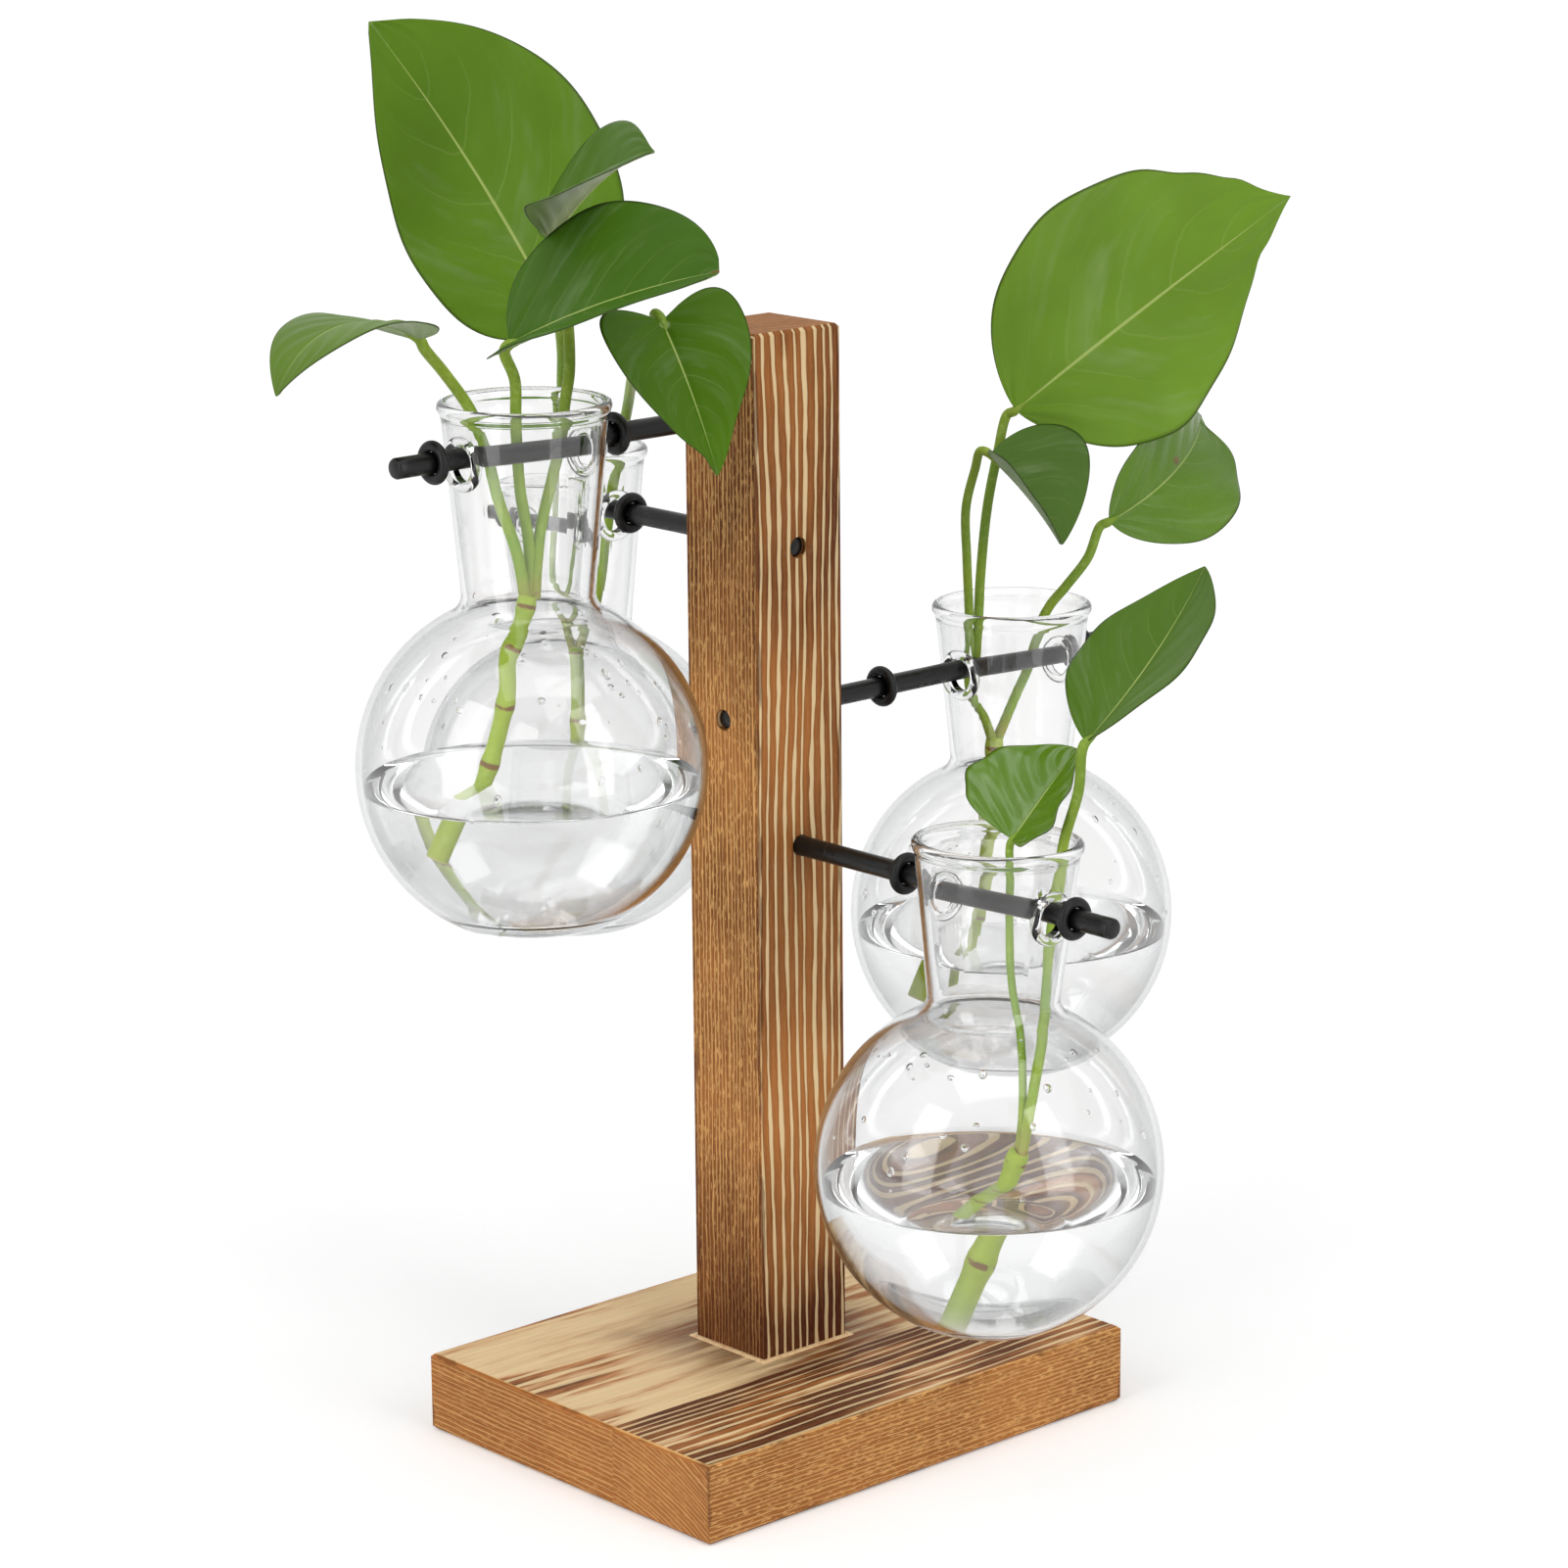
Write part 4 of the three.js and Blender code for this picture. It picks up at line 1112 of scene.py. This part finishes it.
def leaf_sheet(leaf, finish, dents, u, v, under):
    """Rows of points of the upper or the lower face, in millimetres from the flask's middle."""
    places, ahead, side, normal = (a[:, None, :] for a in midrib(leaf, u))
    share = blade_share(leaf, u)[:, None]
    u, v = u[:, None], v[None, :]
    across = v * leaf["width"] / 2 * (1 + leaf["skew"] * np.sign(v)) * share
    for centre, half, depth, spread in dents:
        across = across - depth * v * np.abs(v) * (np.sign(v) == half) * np.exp(-((u - centre) / spread) ** 2)
    rise = leaf["fold"] * np.abs(across) + leaf["cup"] * across**2 / (leaf["width"] / 2)
    back = leaf["lobe"] * v**2 * share * (1 - u) ** 1.5
    edge = 1 - np.abs(v) ** 4
    quilt = QUILT_HEIGHT * np.cos(2 * np.pi * vein_phase(u, v)) * edge * np.minimum(1, np.abs(across) / 4)
    wave = finish["wave"] * np.abs(v) ** 3 * share * np.sin(2 * np.pi * finish["waves"] * u + 2 * np.sign(v))
    groove = np.exp(-(across / GROOVE_WIDTH) ** 2) * (1 - 0.7 * u)
    if under:
        thick = LEAF_THICKNESS * (0.42 + 0.58 * (1 - np.abs(v) ** 2.5))
        sunk = thick + UNDER_GROOVE * groove * np.minimum(1, u / 0.02)
    else:
        sunk = UPPER_GROOVE * groove
    lift = rise - quilt + wave - sunk
    return places + side * across[..., None] + normal * lift[..., None] - ahead * back[..., None]


def leaf_piece(name, leaf, finish, middle):
    """A leaf with its veins raised, a grooved midrib, and a thin edge."""
    rows, cells = 72, 44
    u = (np.arange(1, rows) / rows) ** 1.25
    v = np.linspace(-1, 1, cells + 1)
    v = np.sign(v) * np.abs(v) ** 1.15
    ends = midrib(leaf, np.array([0.0, 1.0]))
    points, shares = [], []
    sheets = []
    for under in (False, True):
        start = len(points)
        grid = leaf_sheet(leaf, finish, LEAF_DENTS.get(name, []), u, v, under)
        points += list(grid.reshape(-1, 3))
        shares += [(0.5 + 0.5 * b, a, float(under)) for a in u for b in v]
        drop = 0.4 if under else 0.0
        for end in (0, 1):
            points.append(ends[0][end] - ends[3][end] * drop)
            shares.append((0.5, float(end), float(under)))
        sheets.append((start, len(points) - 2, len(points) - 1))
    faces = []
    width = cells + 1
    for (start, base, tip), flip in zip(sheets, (False, True)):
        quads = [(start + i * width + j, start + (i + 1) * width + j, start + (i + 1) * width + j + 1,
                  start + i * width + j + 1) for i in range(rows - 2) for j in range(cells)]
        last = start + (rows - 2) * width
        quads += [(base, start + j, start + j + 1) for j in range(cells)]
        quads += [(tip, last + j + 1, last + j) for j in range(cells)]
        faces += [tuple(reversed(q)) for q in quads] if flip else quads
    (top, top_base, top_tip), (low, low_base, low_tip) = sheets
    for column in (0, cells):
        upper = [top_base, *(top + i * width + column for i in range(rows - 1)), top_tip]
        lower = [low_base, *(low + i * width + column for i in range(rows - 1)), low_tip]
        for i in range(len(upper) - 1):
            face = (upper[i], lower[i], lower[i + 1], upper[i + 1])
            faces.append(face if column == 0 else tuple(reversed(face)))
    made = mesh_object(f"{name}_blade", [middle + Vector(p) * MM for p in points], faces)
    uv = made.data.uv_layers.new(name="blade")
    corners = np.empty(len(made.data.loops), np.int32)
    made.data.loops.foreach_get("vertex_index", corners)
    table = np.array(shares, np.float32)
    uv.data.foreach_set("uv", table[corners, :2].ravel())
    under = made.data.attributes.new("underside", "FLOAT", "POINT")
    under.data.foreach_set("value", table[:, 2])
    outward(made)
    return made


def make_leaf_skin():
    """A leaf's colour, roughness and height over its UV map: U runs across the blade, V from base to tip."""
    graph, given, out = effect_group("leaf_skin", {
        "Upper": WHITE, "Under": WHITE, "Vein": WHITE, "Gloss": 0.4,
        "Spot Across": 0.5, "Spot Along": 0.0, "Spot Size": 0.0, "Spot": WHITE,
    }, {"Color": "Color", "Roughness": "Float", "Height": "Float"})
    across, along, _ = graph.split(graph.take("ShaderNodeUVMap", 0, uv_map="blade"))
    place = graph.object_place()
    away = abs(across * 2.0 - 1.0)
    warp = (graph.noise(place, 70.0, 2.0) - 0.5) * 0.06
    phase = (along - away ** VEIN_CURVE * VEIN_SWEEP + warp) * VEINS
    near = abs(graph.math("FRACT", phase + 0.5) - 0.5)
    vein = graph.step(near, 0.045, 0.0) * graph.step(away, 0.9, 0.2)
    # Between the veins, where the painted sheen goes.
    sheen_band = graph.step(near, 0.08, 0.42)
    rib = graph.step(away / graph.fit(along, 0.0, 1.0, 0.02, 0.006), 1.2, 0.4)
    mottle = graph.noise(place, 190.0, 4.0, 0.6)
    cloud = graph.noise(place, 26.0, 2.0)
    # The streaks place the painted sheen and also bump the surface.
    streaks = graph.noise(graph.place(phase * 1.6, away * 1.2, cloud), 1.0, 3.0, 0.6)
    deep = graph.mix(0.3, given["Upper"], (0.012, 0.035, 0.0))
    # Painted sheen: a paler, bluer green in place of soft highlights.
    painted_sheen = graph.mix(0.34, given["Upper"], (0.46, 0.54, 0.34))
    skin = graph.mix(graph.fit(cloud, 0.35, 0.65, 0.0, 0.6), given["Upper"], deep)
    # Painted sheen laid over the skin in streaks between the veins.
    skin = graph.mix(graph.step(streaks, 0.48, 0.72) * (sheen_band + 0.25) * 0.4, skin, painted_sheen)
    skin = graph.mix(graph.step(mottle, 0.62, 0.35) * 0.12, skin, deep)
    skin = graph.mix(vein * 0.09, skin, given["Vein"])
    skin = graph.mix(rib * 0.74, skin, given["Vein"])
    back = graph.mix(vein * 0.3, given["Under"], given["Vein"])
    back = graph.mix(rib * 0.8, back, given["Vein"])
    skin = graph.mix(graph.step(graph.attribute("underside"), 0.45, 0.55), skin, back)
    skin = graph.mix(graph.step(away, 0.97, 0.998) * 0.7, skin, (0.022, 0.04, 0.008))
    spot_across = (across - given["Spot Across"]) * 0.6
    spot_along = along - given["Spot Along"]
    apart = graph.math("SQRT", spot_across * spot_across + spot_along * spot_along)
    ragged = given["Spot Size"] * graph.fit(mottle, 0.35, 0.65, 0.6, 1.5)
    skin = graph.mix(graph.step(ragged - apart, -0.004, 0.02), skin, given["Spot"])
    send(graph, out, {"Color": skin, "Roughness": given["Gloss"] + mottle * 0.14,
                      "Height": vein * -0.7 + streaks * 0.8 + mottle * 0.2})


def leaf_material(name, finish, foliage):
    """A leaf's own green from the leaf skin group."""
    graph, shader, material = new_material(name)
    spot_across, spot_along, spot_size = finish["spot"]
    skin = effect(graph, "leaf_skin", {
        "Upper": tone(finish["upper"]), "Under": tone(finish["under"]), "Vein": foliage.vein,
        "Gloss": finish["gloss"], "Spot Across": spot_across, "Spot Along": spot_along,
        "Spot Size": spot_size, "Spot": tone(finish["spot_tone"])})
    send(graph, shader, {"Base Color": skin["Color"], "Roughness": skin["Roughness"],
                         "Specular IOR Level": finish["shine"],
                         "Normal": relief(graph, skin["Height"], 0.1 * MM)})
    return material


def petiole_points(leaf):
    """The petiole's path in millimetres: it comes up under the leaf's base, along the midrib."""
    along, _, face = leaf_frame(leaf)
    end = np.array(leaf["seat"]) - along * LEAF_SEAT - face * LEAF_THICKNESS / 2
    under = end - along * 1.8 - face
    places, _, _, faces = midrib(leaf, np.array([2.4, 5.5]) / leaf["length"])
    beneath = places - faces * LEAF_THICKNESS
    return [*leaf["petiole"], under, end, *beneath]


def length_along(path):
    """How far each point of a path lies from its start."""
    return np.concatenate([[0], np.cumsum(np.linalg.norm(np.diff(path, axis=0), axis=1))])


def stem_lines(arm, cutting, middle):
    """The stem and petioles as lines with their thickness, scars and tone."""
    points = list(cutting["stem"])
    if "rests_at" in cutting:
        rest = foot_height(FLASKS[arm]) + FLOOR_THICKNESS + cutting["stem_radius"] + STEM_REST
        points.append((*cutting["rests_at"], rest))
    path = smooth_path(points, 0.6)
    run = length_along(path)
    scar = np.zeros(len(run))
    swell = np.zeros(len(run))
    for place in cutting["scars"]:
        scar = np.maximum(scar, np.exp(-((run - place) / 0.65) ** 2))
        swell = np.maximum(swell, np.exp(-((run - place) / 2.0) ** 2))
    radius = cutting["stem_radius"] * (0.92 + 0.2 * swell - 0.05 * scar)
    lines = [{"points": path * MM + np.array(middle), "thickness": radius * MM, "scar": scar,
              "petiole": np.zeros(len(run)), "sheath": np.zeros(len(run))}]
    for leaf in cutting["leaves"].values():
        path = smooth_path(petiole_points(leaf), 0.8)
        run = length_along(path)
        taper = np.clip((run[-1] - run) / 6, 0.25, 1)
        radius = leaf["petiole_radius"] * (0.97 + 0.12 * np.exp(-run / 7)) * taper
        lines.append({"points": path * MM + np.array(middle), "thickness": radius * MM,
                      "scar": np.exp(-((run - 1.2) / 0.8) ** 2) * 0.6, "petiole": np.ones(len(run)),
                      "sheath": np.exp(-((run - 2) / 5) ** 2)})
    return lines


def stem_material(foliage):
    """Green stems, paler than the leaf stalks, with brown nodes, and a cream cut end."""
    graph, shader, material = new_material("cutting_stem")
    place = graph.object_place()
    cloud = graph.noise(place, 60.0, 3.0)
    streak = graph.noise(place, 700.0, 3.0, 0.6)
    scar = graph.attribute("scar")
    stem = graph.mix(graph.fit(cloud, 0.3, 0.7, 0.0, 0.6), foliage.stem, foliage.petiole)
    stalk = graph.mix(graph.fit(cloud, 0.3, 0.7, 0.0, 0.5), foliage.petiole, foliage.stem)
    skin = graph.mix(graph.attribute("petiole"), stem, stalk)
    skin = graph.mix(graph.step(streak, 0.5, 0.7) * 0.25, skin, foliage.vein)
    dry = graph.attribute("sheath") * graph.fit(cloud, 0.35, 0.65, 0.2, 0.8)
    skin = graph.mix(dry, skin, tone("#a08c4c"))
    ragged = scar * graph.fit(graph.noise(place, 320.0, 3.0), 0.38, 0.62, 0.35, 1.35)
    skin = graph.mix(graph.step(ragged, 0.35, 0.7), skin, foliage.scar)
    skin = graph.mix(graph.attribute("cut_end"), skin, tone("#d9cf94"))
    send(graph, shader, {"Base Color": skin, "Roughness": graph.fit(streak, 0.3, 0.7, 0.34, 0.5),
                         "Specular IOR Level": 0.2, "Normal": relief(graph, streak + scar * -1.5, 0.08 * MM)})
    return material


def add_cut_end(obj, centre, direction, radius):
    """A pale cut disc on the stem's end, hollowed to a slit, joined to the stem's mesh."""
    turn = Vector(direction).to_track_quat("Z", "Y").to_matrix()
    rings = [(1.0, 0.0, 1.0), (0.96, 0.35, 1.0), (0.8, 0.42, 1.0), (0.5, 0.36, 1.0), (0.22, 0.15, 0.8)]
    sides = 24
    work = bmesh.new()
    work.from_mesh(obj.data)
    layer = work.verts.layers.float.get("cut_end") or work.verts.layers.float.new("cut_end")
    rows = []
    for share, height, slim in rings:
        row = []
        for angle in round_angles(sides):
            local = Vector((radius * share * math.cos(angle), radius * share * slim * math.sin(angle),
                            height * MM))
            vert = work.verts.new(Vector(centre) + turn @ local)
            vert[layer] = 0.0 if share == 1.0 else (0.55 if share < 0.3 else 1.0)
            row.append(vert)
        rows.append(row)
    for low, high in zip(rows, rows[1:]):
        for i in range(sides):
            work.faces.new((low[i], low[(i + 1) % sides], high[(i + 1) % sides], high[i])).smooth = True
    work.faces.new(rows[-1])
    work.faces.new(list(reversed(rows[0])))
    work.to_mesh(obj.data)
    work.free()


def cutting_piece(arm, tree, material):
    """A flask's stem with its leaf stalks and the stem's cut end."""
    cutting = CUTTINGS[arm]
    lines = stem_lines(arm, cutting, flask_middle(arm))
    made = with_nodes(lines_object(f"{arm}_stem_lines", lines), tree, {"Sides": 20, "Finish": material},
                      f"{arm}_cutting")
    stem = lines[0]
    end, before = stem["points"][-1], stem["points"][-3]
    direction = (end - before) / np.linalg.norm(end - before)
    add_cut_end(made, end, direction, stem["thickness"][-1])
    return made


# Stage

def seen_directly(graph):
    """1 for rays from the camera, and for those that a shiny or clear surface sends on."""
    path = graph.outputs(graph.node("ShaderNodeLightPath"))
    return graph.most(path["Is Camera Ray"], graph.most(path["Is Glossy Ray"], path["Is Transmission Ray"]))


def make_floor():
    """A plain white floor that keeps a soft share of the object's shadow."""
    reach = 9.0
    level = -0.2 * MM
    lamp_spread = 0.45
    floor = mesh_object("floor", [(-reach, -reach, level), (reach, -reach, level), (reach, reach, level),
                                  (-reach, reach, level)], [(0, 1, 2, 3)], smooth=False)
    graph, shader, material = new_material("floor_white")
    send(graph, shader, {"Base Color": (0.8, 0.8, 0.8), "Roughness": 0.9, "Specular IOR Level": 0.0})
    white = graph.take("ShaderNodeBsdfDiffuse", 0, {"Color": WHITE})
    away = graph.take("ShaderNodeVectorMath", "Value", {0: graph.object_place()}, operation="LENGTH")
    from_lamps = 0.38 / ((away / lamp_spread) ** 2.0 + 1.0)
    glow = graph.take("ShaderNodeEmission", 0, {"Color": WHITE, "Strength": 0.62 - from_lamps})
    lit = graph.take("ShaderNodeAddShader", 0, {0: white, 1: glow})
    graph.surface(graph.choose(seen_directly(graph), shader.outputs[0], lit))
    floor.data.materials.append(material)


def make_world(scene, stage):
    """Even soft light, and white where the camera, glass or a shiny surface sees it."""
    world = bpy.data.worlds.new("studio")
    scene.world = world
    world.use_nodes = True
    graph = Graph(world.node_tree)
    background = world.node_tree.nodes["Background"]
    send(graph, background, {"Color": WHITE, "Strength": stage.sky})
    white = graph.take("ShaderNodeBackground", 0, {"Color": WHITE, "Strength": 1.0})
    graph.surface(graph.choose(seen_directly(graph), background.outputs[0], white))


def view_back(yaw, pitch):
    """The direction from what is looked at back to the one who looks."""
    return Vector((math.sin(yaw) * math.cos(pitch), -math.cos(yaw) * math.cos(pitch), math.sin(pitch)))


def make_lamps(stage):
    """Two tall softboxes, one on each side of the camera, and a lid of light above."""
    centre = Vector((0.0, 0.0, 0.17))
    distance = 1.1
    for name, turn, lift, size, share in (("left_softbox", -46, 16, (0.42, 1.3), 1.0),
                                          ("right_softbox", 44, 16, (0.36, 1.3), 0.8),
                                          ("top_softbox", 10, 80, (0.9, 0.9), 0.7)):
        back = view_back(stage.yaw + math.radians(turn), math.radians(lift))
        light = bpy.data.lights.new(name, "AREA")
        light.shape = "RECTANGLE"
        light.size, light.size_y = size
        light.energy = stage.softbox * share
        lamp = linked(name, light)
        lamp.location = centre + back * distance
        lamp.rotation_mode = "QUATERNION"
        lamp.rotation_quaternion = (-back).to_track_quat("-Z", "Y")


def make_camera(scene, stage):
    """The camera at the photograph's angle."""
    data = bpy.data.cameras.new("camera")
    data.lens = stage.lens
    data.sensor_width = 36.0
    data.clip_end = 100.0
    camera = linked("camera", data)
    back = view_back(stage.yaw, stage.pitch)
    right = Vector((math.cos(stage.yaw), math.sin(stage.yaw), 0.0))
    up = back.cross(right)
    rolled = right * math.cos(stage.roll) + up * math.sin(stage.roll)
    upright = up * math.cos(stage.roll) - right * math.sin(stage.roll)
    turn = Matrix((rolled, upright, back)).transposed()
    camera.matrix_world = Matrix.Translation(Vector(stage.place)) @ turn.to_4x4()
    scene.camera = camera


# Settings

def size_value(name, text, default, **extra):
    """A length, in metres."""
    return bpy.props.FloatProperty(name=name, description=text, default=default, unit="LENGTH", precision=5,
                                   **extra)


def colour_value(name, text, code):
    """A colour, given as #rrggbb."""
    return bpy.props.FloatVectorProperty(name=name, description=text, subtype="COLOR", size=3, min=0.0,
                                         max=1.0, default=tone(code))


class WoodSettings(bpy.types.PropertyGroup):
    cream: colour_value("Cream", "Colour of the pale growth lines", "#ffe0ac")
    brown: colour_value("Brown", "Colour of lightly torched wood", "#c67d3e")
    gold: colour_value("Gold", "Colour of the fine lines and flecks on the sides", "#fdc47a")
    char: colour_value("Char", "Colour of deeply torched wood", "#50220a")
    lip_height: size_value("Lip height", "Height of the pale lip round the post's foot", 0.45 * MM)
    lip_width: size_value("Lip width", "Width of the pale lip round the post's foot", 1.3 * MM)


class FittingSettings(bpy.types.PropertyGroup):
    rod: colour_value("Rod", "Colour of the rods' coat", "#0b0b0b")
    rubber: colour_value("Rubber", "Colour of the rings", "#080808")


class GlassSettings(bpy.types.PropertyGroup):
    tint: colour_value("Tint", "Colour of the glass seen straight through", "#f8f8f8")
    # Painted shade: the glass's colour seen edge on is darker, in place of the dark edges that refraction
    # shows.
    edge: colour_value("Edge", "Colour of the glass seen edge on", "#7c8388")
    water_level: size_value("Water level", "How far the water stays below the bulb's centre", 4 * MM)
    drop_density: bpy.props.FloatProperty(name="Drops", description="Drops a square metre of wet glass",
                                          default=5200.0, min=0.0)
    least_drop: size_value("Smallest drop", "Radius of the smallest drop", 0.25 * MM)
    most_drop: size_value("Largest drop", "Radius of the largest drop", 1.1 * MM)


class FoliageSettings(bpy.types.PropertyGroup):
    vein: colour_value("Vein", "Colour of the midribs and veins", "#c2d47c")
    stem: colour_value("Stem", "Colour of the stems", "#a9b93a")
    petiole: colour_value("Petiole", "Colour of the leaf stalks", "#789a36")
    scar: colour_value("Scar", "Colour of the leaf nodes' scars", "#7c5c2c")


class StageSettings(bpy.types.PropertyGroup):
    lens: bpy.props.FloatProperty(name="Lens", description="Focal length in millimetres on a 36 mm sensor",
                                  default=115.03, min=10.0)
    yaw: bpy.props.FloatProperty(name="Yaw", description="The camera's turn about the vertical",
                                 subtype="ANGLE", default=math.radians(-42.095))
    pitch: bpy.props.FloatProperty(name="Pitch", description="How far the camera looks down",
                                   subtype="ANGLE", default=math.radians(13.957))
    roll: bpy.props.FloatProperty(name="Roll", description="The camera's roll", subtype="ANGLE",
                                  default=math.radians(-0.51))
    place: bpy.props.FloatVectorProperty(name="Place", description="Where the camera stands",
                                         subtype="TRANSLATION", unit="LENGTH",
                                         default=(-0.7952, -0.8844, 0.4595))
    sky: bpy.props.FloatProperty(name="Sky", description="Strength of the light from all round",
                                 default=0.42, min=0.0)
    softbox: bpy.props.FloatProperty(name="Softbox", description="Power of each softbox", subtype="POWER",
                                     default=4.6, min=0.0)


# Operators

class VASE_OT_wood(bpy.types.Operator):
    """Gives the post and the board their torched grain, and adds the pale lip round the post's foot"""
    bl_idname = "vase.wood"
    bl_label = "Torched wood"

    def execute(self, context):
        wood = context.scene.vase_wood
        make_grain_lines()
        make_wood_fibre()
        make_torched_tone()
        assign("post", post_material(wood))
        front = board_material(wood, "front_strip_wood", offset=1.7, pitch=3.2, wander=16.0, bare=0.36,
                               slant=0.15, bow=0.006)
        rear = board_material(wood, "rear_strip_wood", offset=8.3, pitch=5.2, wander=9.0, bare=0.57,
                              slant=0.03, bow=0.0)
        assign("base_front_strip", front)
        assign("base_rear_strip", rear)
        settle(foot_lip(wood), "stand", "torched_wood", lip_material(wood))
        return {"FINISHED"}


class VASE_OT_rods(bpy.types.Operator):
    """Makes the four rods round and satin black, and gives the screws their steel"""
    bl_idname = "vase.rods"
    bl_label = "Rods and screws"

    def execute(self, context):
        fittings = context.scene.vase_fittings
        finish = coated_material("rod_coat", fittings.rod, roughness=0.3, wear=0.3)
        tree = sweep_tree()
        for arm in FLASKS:
            settle(rod_piece(arm, tree, finish), "stand", "black_rod", finish, f"{arm}_rod")
        steel = steel_material()
        assign("left_screw", steel)
        assign("right_screw", steel)
        return {"FINISHED"}


class VASE_OT_rings(bpy.types.Operator):
    """Makes the eight rubber rings"""
    bl_idname = "vase.rings"
    bl_label = "Rubber rings"

    def execute(self, context):
        finish = coated_material("ring_rubber", context.scene.vase_fittings.rubber, roughness=0.4, wear=0.15)
        tree = ring_tree()
        sizes = {"Middle Radius": RING_MIDDLE * MM, "Section Radius": RING_SECTION * MM, "Finish": finish}
        for arm, flask in FLASKS.items():
            for which in ("inner", "outer"):
                node = f"{arm}_{which}_ring"
                low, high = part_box(node)
                spot = bpy.data.meshes.new(node)
                spot.from_pydata([(low + high) / 2], [], [])
                inputs = {**sizes, "Direction": flask["out"]}
                ring = with_nodes(linked(node, spot), tree, inputs, f"{arm}_{which}_rubber_ring")
                outward(ring)
                settle(ring, f"{arm}_{which}_ring_body", "black_rubber", finish, node)
        return {"FINISHED"}


class VASE_OT_flasks(bpy.types.Operator):
    """Makes the four blown flasks"""
    bl_idname = "vase.flasks"
    bl_label = "Flasks"

    def execute(self, context):
        settings = context.scene.vase_glass
        glass = glass_material("flask_glass", settings.tint, settings.edge, ior=1.47)
        for arm in FLASKS:
            settle(flask_piece(arm), f"{arm}_flask_body", "clear_glass", glass, f"{arm}_flask")
        return {"FINISHED"}


class VASE_OT_water(bpy.types.Operator):
    """Fills the flasks with water and wets the glass above it with drops"""
    bl_idname = "vase.water"
    bl_label = "Water and drops"

    def execute(self, context):
        settings = context.scene.vase_glass
        # Painted shade: the water is darker where its surface is seen edge on, as the glass is.
        water = glass_material("clear_water", (0.985, 0.99, 0.99), (0.86, 0.88, 0.88), ior=1.33)
        tree = droplet_tree()
        for seed, arm in enumerate(FLASKS):
            settle(water_piece(arm, settings.water_level / MM), f"{arm}_flask_body", "clear_glass", water)
            sheet = wetted_surface(arm, f"{arm}_wet_glass")
            drops = with_nodes(sheet, tree, {"Density": settings.drop_density, "Least": settings.least_drop,
                                             "Most": settings.most_drop, "Seed": 11 + seed, "Finish": water},
                               f"{arm}_drops")
            outward(drops)
            settle(drops, f"{arm}_flask_body", "clear_glass", water)
        return {"FINISHED"}


class VASE_OT_stems(bpy.types.Operator):
    """Makes the cuttings' stems and leaf stalks"""
    bl_idname = "vase.stems"
    bl_label = "Stems"

    def execute(self, context):
        finish = stem_material(context.scene.vase_foliage)
        tree = bpy.data.node_groups["swept_section"]
        for arm in FLASKS:
            settle(cutting_piece(arm, tree, finish), f"{arm}_flask_body", "green_stem", finish, f"{arm}_stem")
        return {"FINISHED"}


class VASE_OT_leaves(bpy.types.Operator):
    """Makes the ten leaves, each with its own green"""
    bl_idname = "vase.leaves"
    bl_label = "Leaves"

    def execute(self, context):
        make_leaf_skin()
        for arm, cutting in CUTTINGS.items():
            for name, leaf in cutting["leaves"].items():
                finish = LEAF_FINISH[name]
                piece = leaf_piece(name, leaf, finish, flask_middle(arm))
                material = leaf_material(f"{name}_skin", finish, context.scene.vase_foliage)
                settle(piece, f"{arm}_flask_body", "green_leaf", material, name)
        return {"FINISHED"}


class VASE_OT_stage(bpy.types.Operator):
    """Adds the floor, the lamps, the world and the camera"""
    bl_idname = "vase.stage"
    bl_label = "Stage"

    def execute(self, context):
        scene = context.scene
        make_floor()
        make_world(scene, scene.vase_stage)
        make_lamps(scene.vase_stage)
        make_camera(scene, scene.vase_stage)
        scene.view_settings.view_transform = "Standard"
        return {"FINISHED"}


SETTINGS = {"vase_wood": WoodSettings, "vase_fittings": FittingSettings, "vase_glass": GlassSettings,
            "vase_foliage": FoliageSettings, "vase_stage": StageSettings}
OPERATORS = (VASE_OT_wood, VASE_OT_rods, VASE_OT_rings, VASE_OT_flasks, VASE_OT_water, VASE_OT_stems,
             VASE_OT_leaves, VASE_OT_stage)


class VASE_PT_sidebar(bpy.types.Panel):
    """The vase's sizes, colours and pieces"""
    bl_idname = "VASE_PT_sidebar"
    bl_label = "Hydroponic vase"
    bl_space_type = "VIEW_3D"
    bl_region_type = "UI"
    bl_category = "Vase"

    def draw(self, context):
        for key, group in SETTINGS.items():
            box = self.layout.box()
            for name in group.__annotations__:
                box.prop(getattr(context.scene, key), name)
        for operator in OPERATORS:
            self.layout.operator(operator.bl_idname)


def register():
    for group in (*SETTINGS.values(), *OPERATORS, VASE_PT_sidebar):
        bpy.utils.register_class(group)
    for key, group in SETTINGS.items():
        setattr(bpy.types.Scene, key, bpy.props.PointerProperty(type=group))


def unregister():
    for key in SETTINGS:
        delattr(bpy.types.Scene, key)
    for group in reversed((*SETTINGS.values(), *OPERATORS, VASE_PT_sidebar)):
        bpy.utils.unregister_class(group)


def main():
    register()
    for operator in OPERATORS:
        space, name = operator.bl_idname.split(".")
        getattr(getattr(bpy.ops, space), name)()


if __name__ == "__main__":
    main()
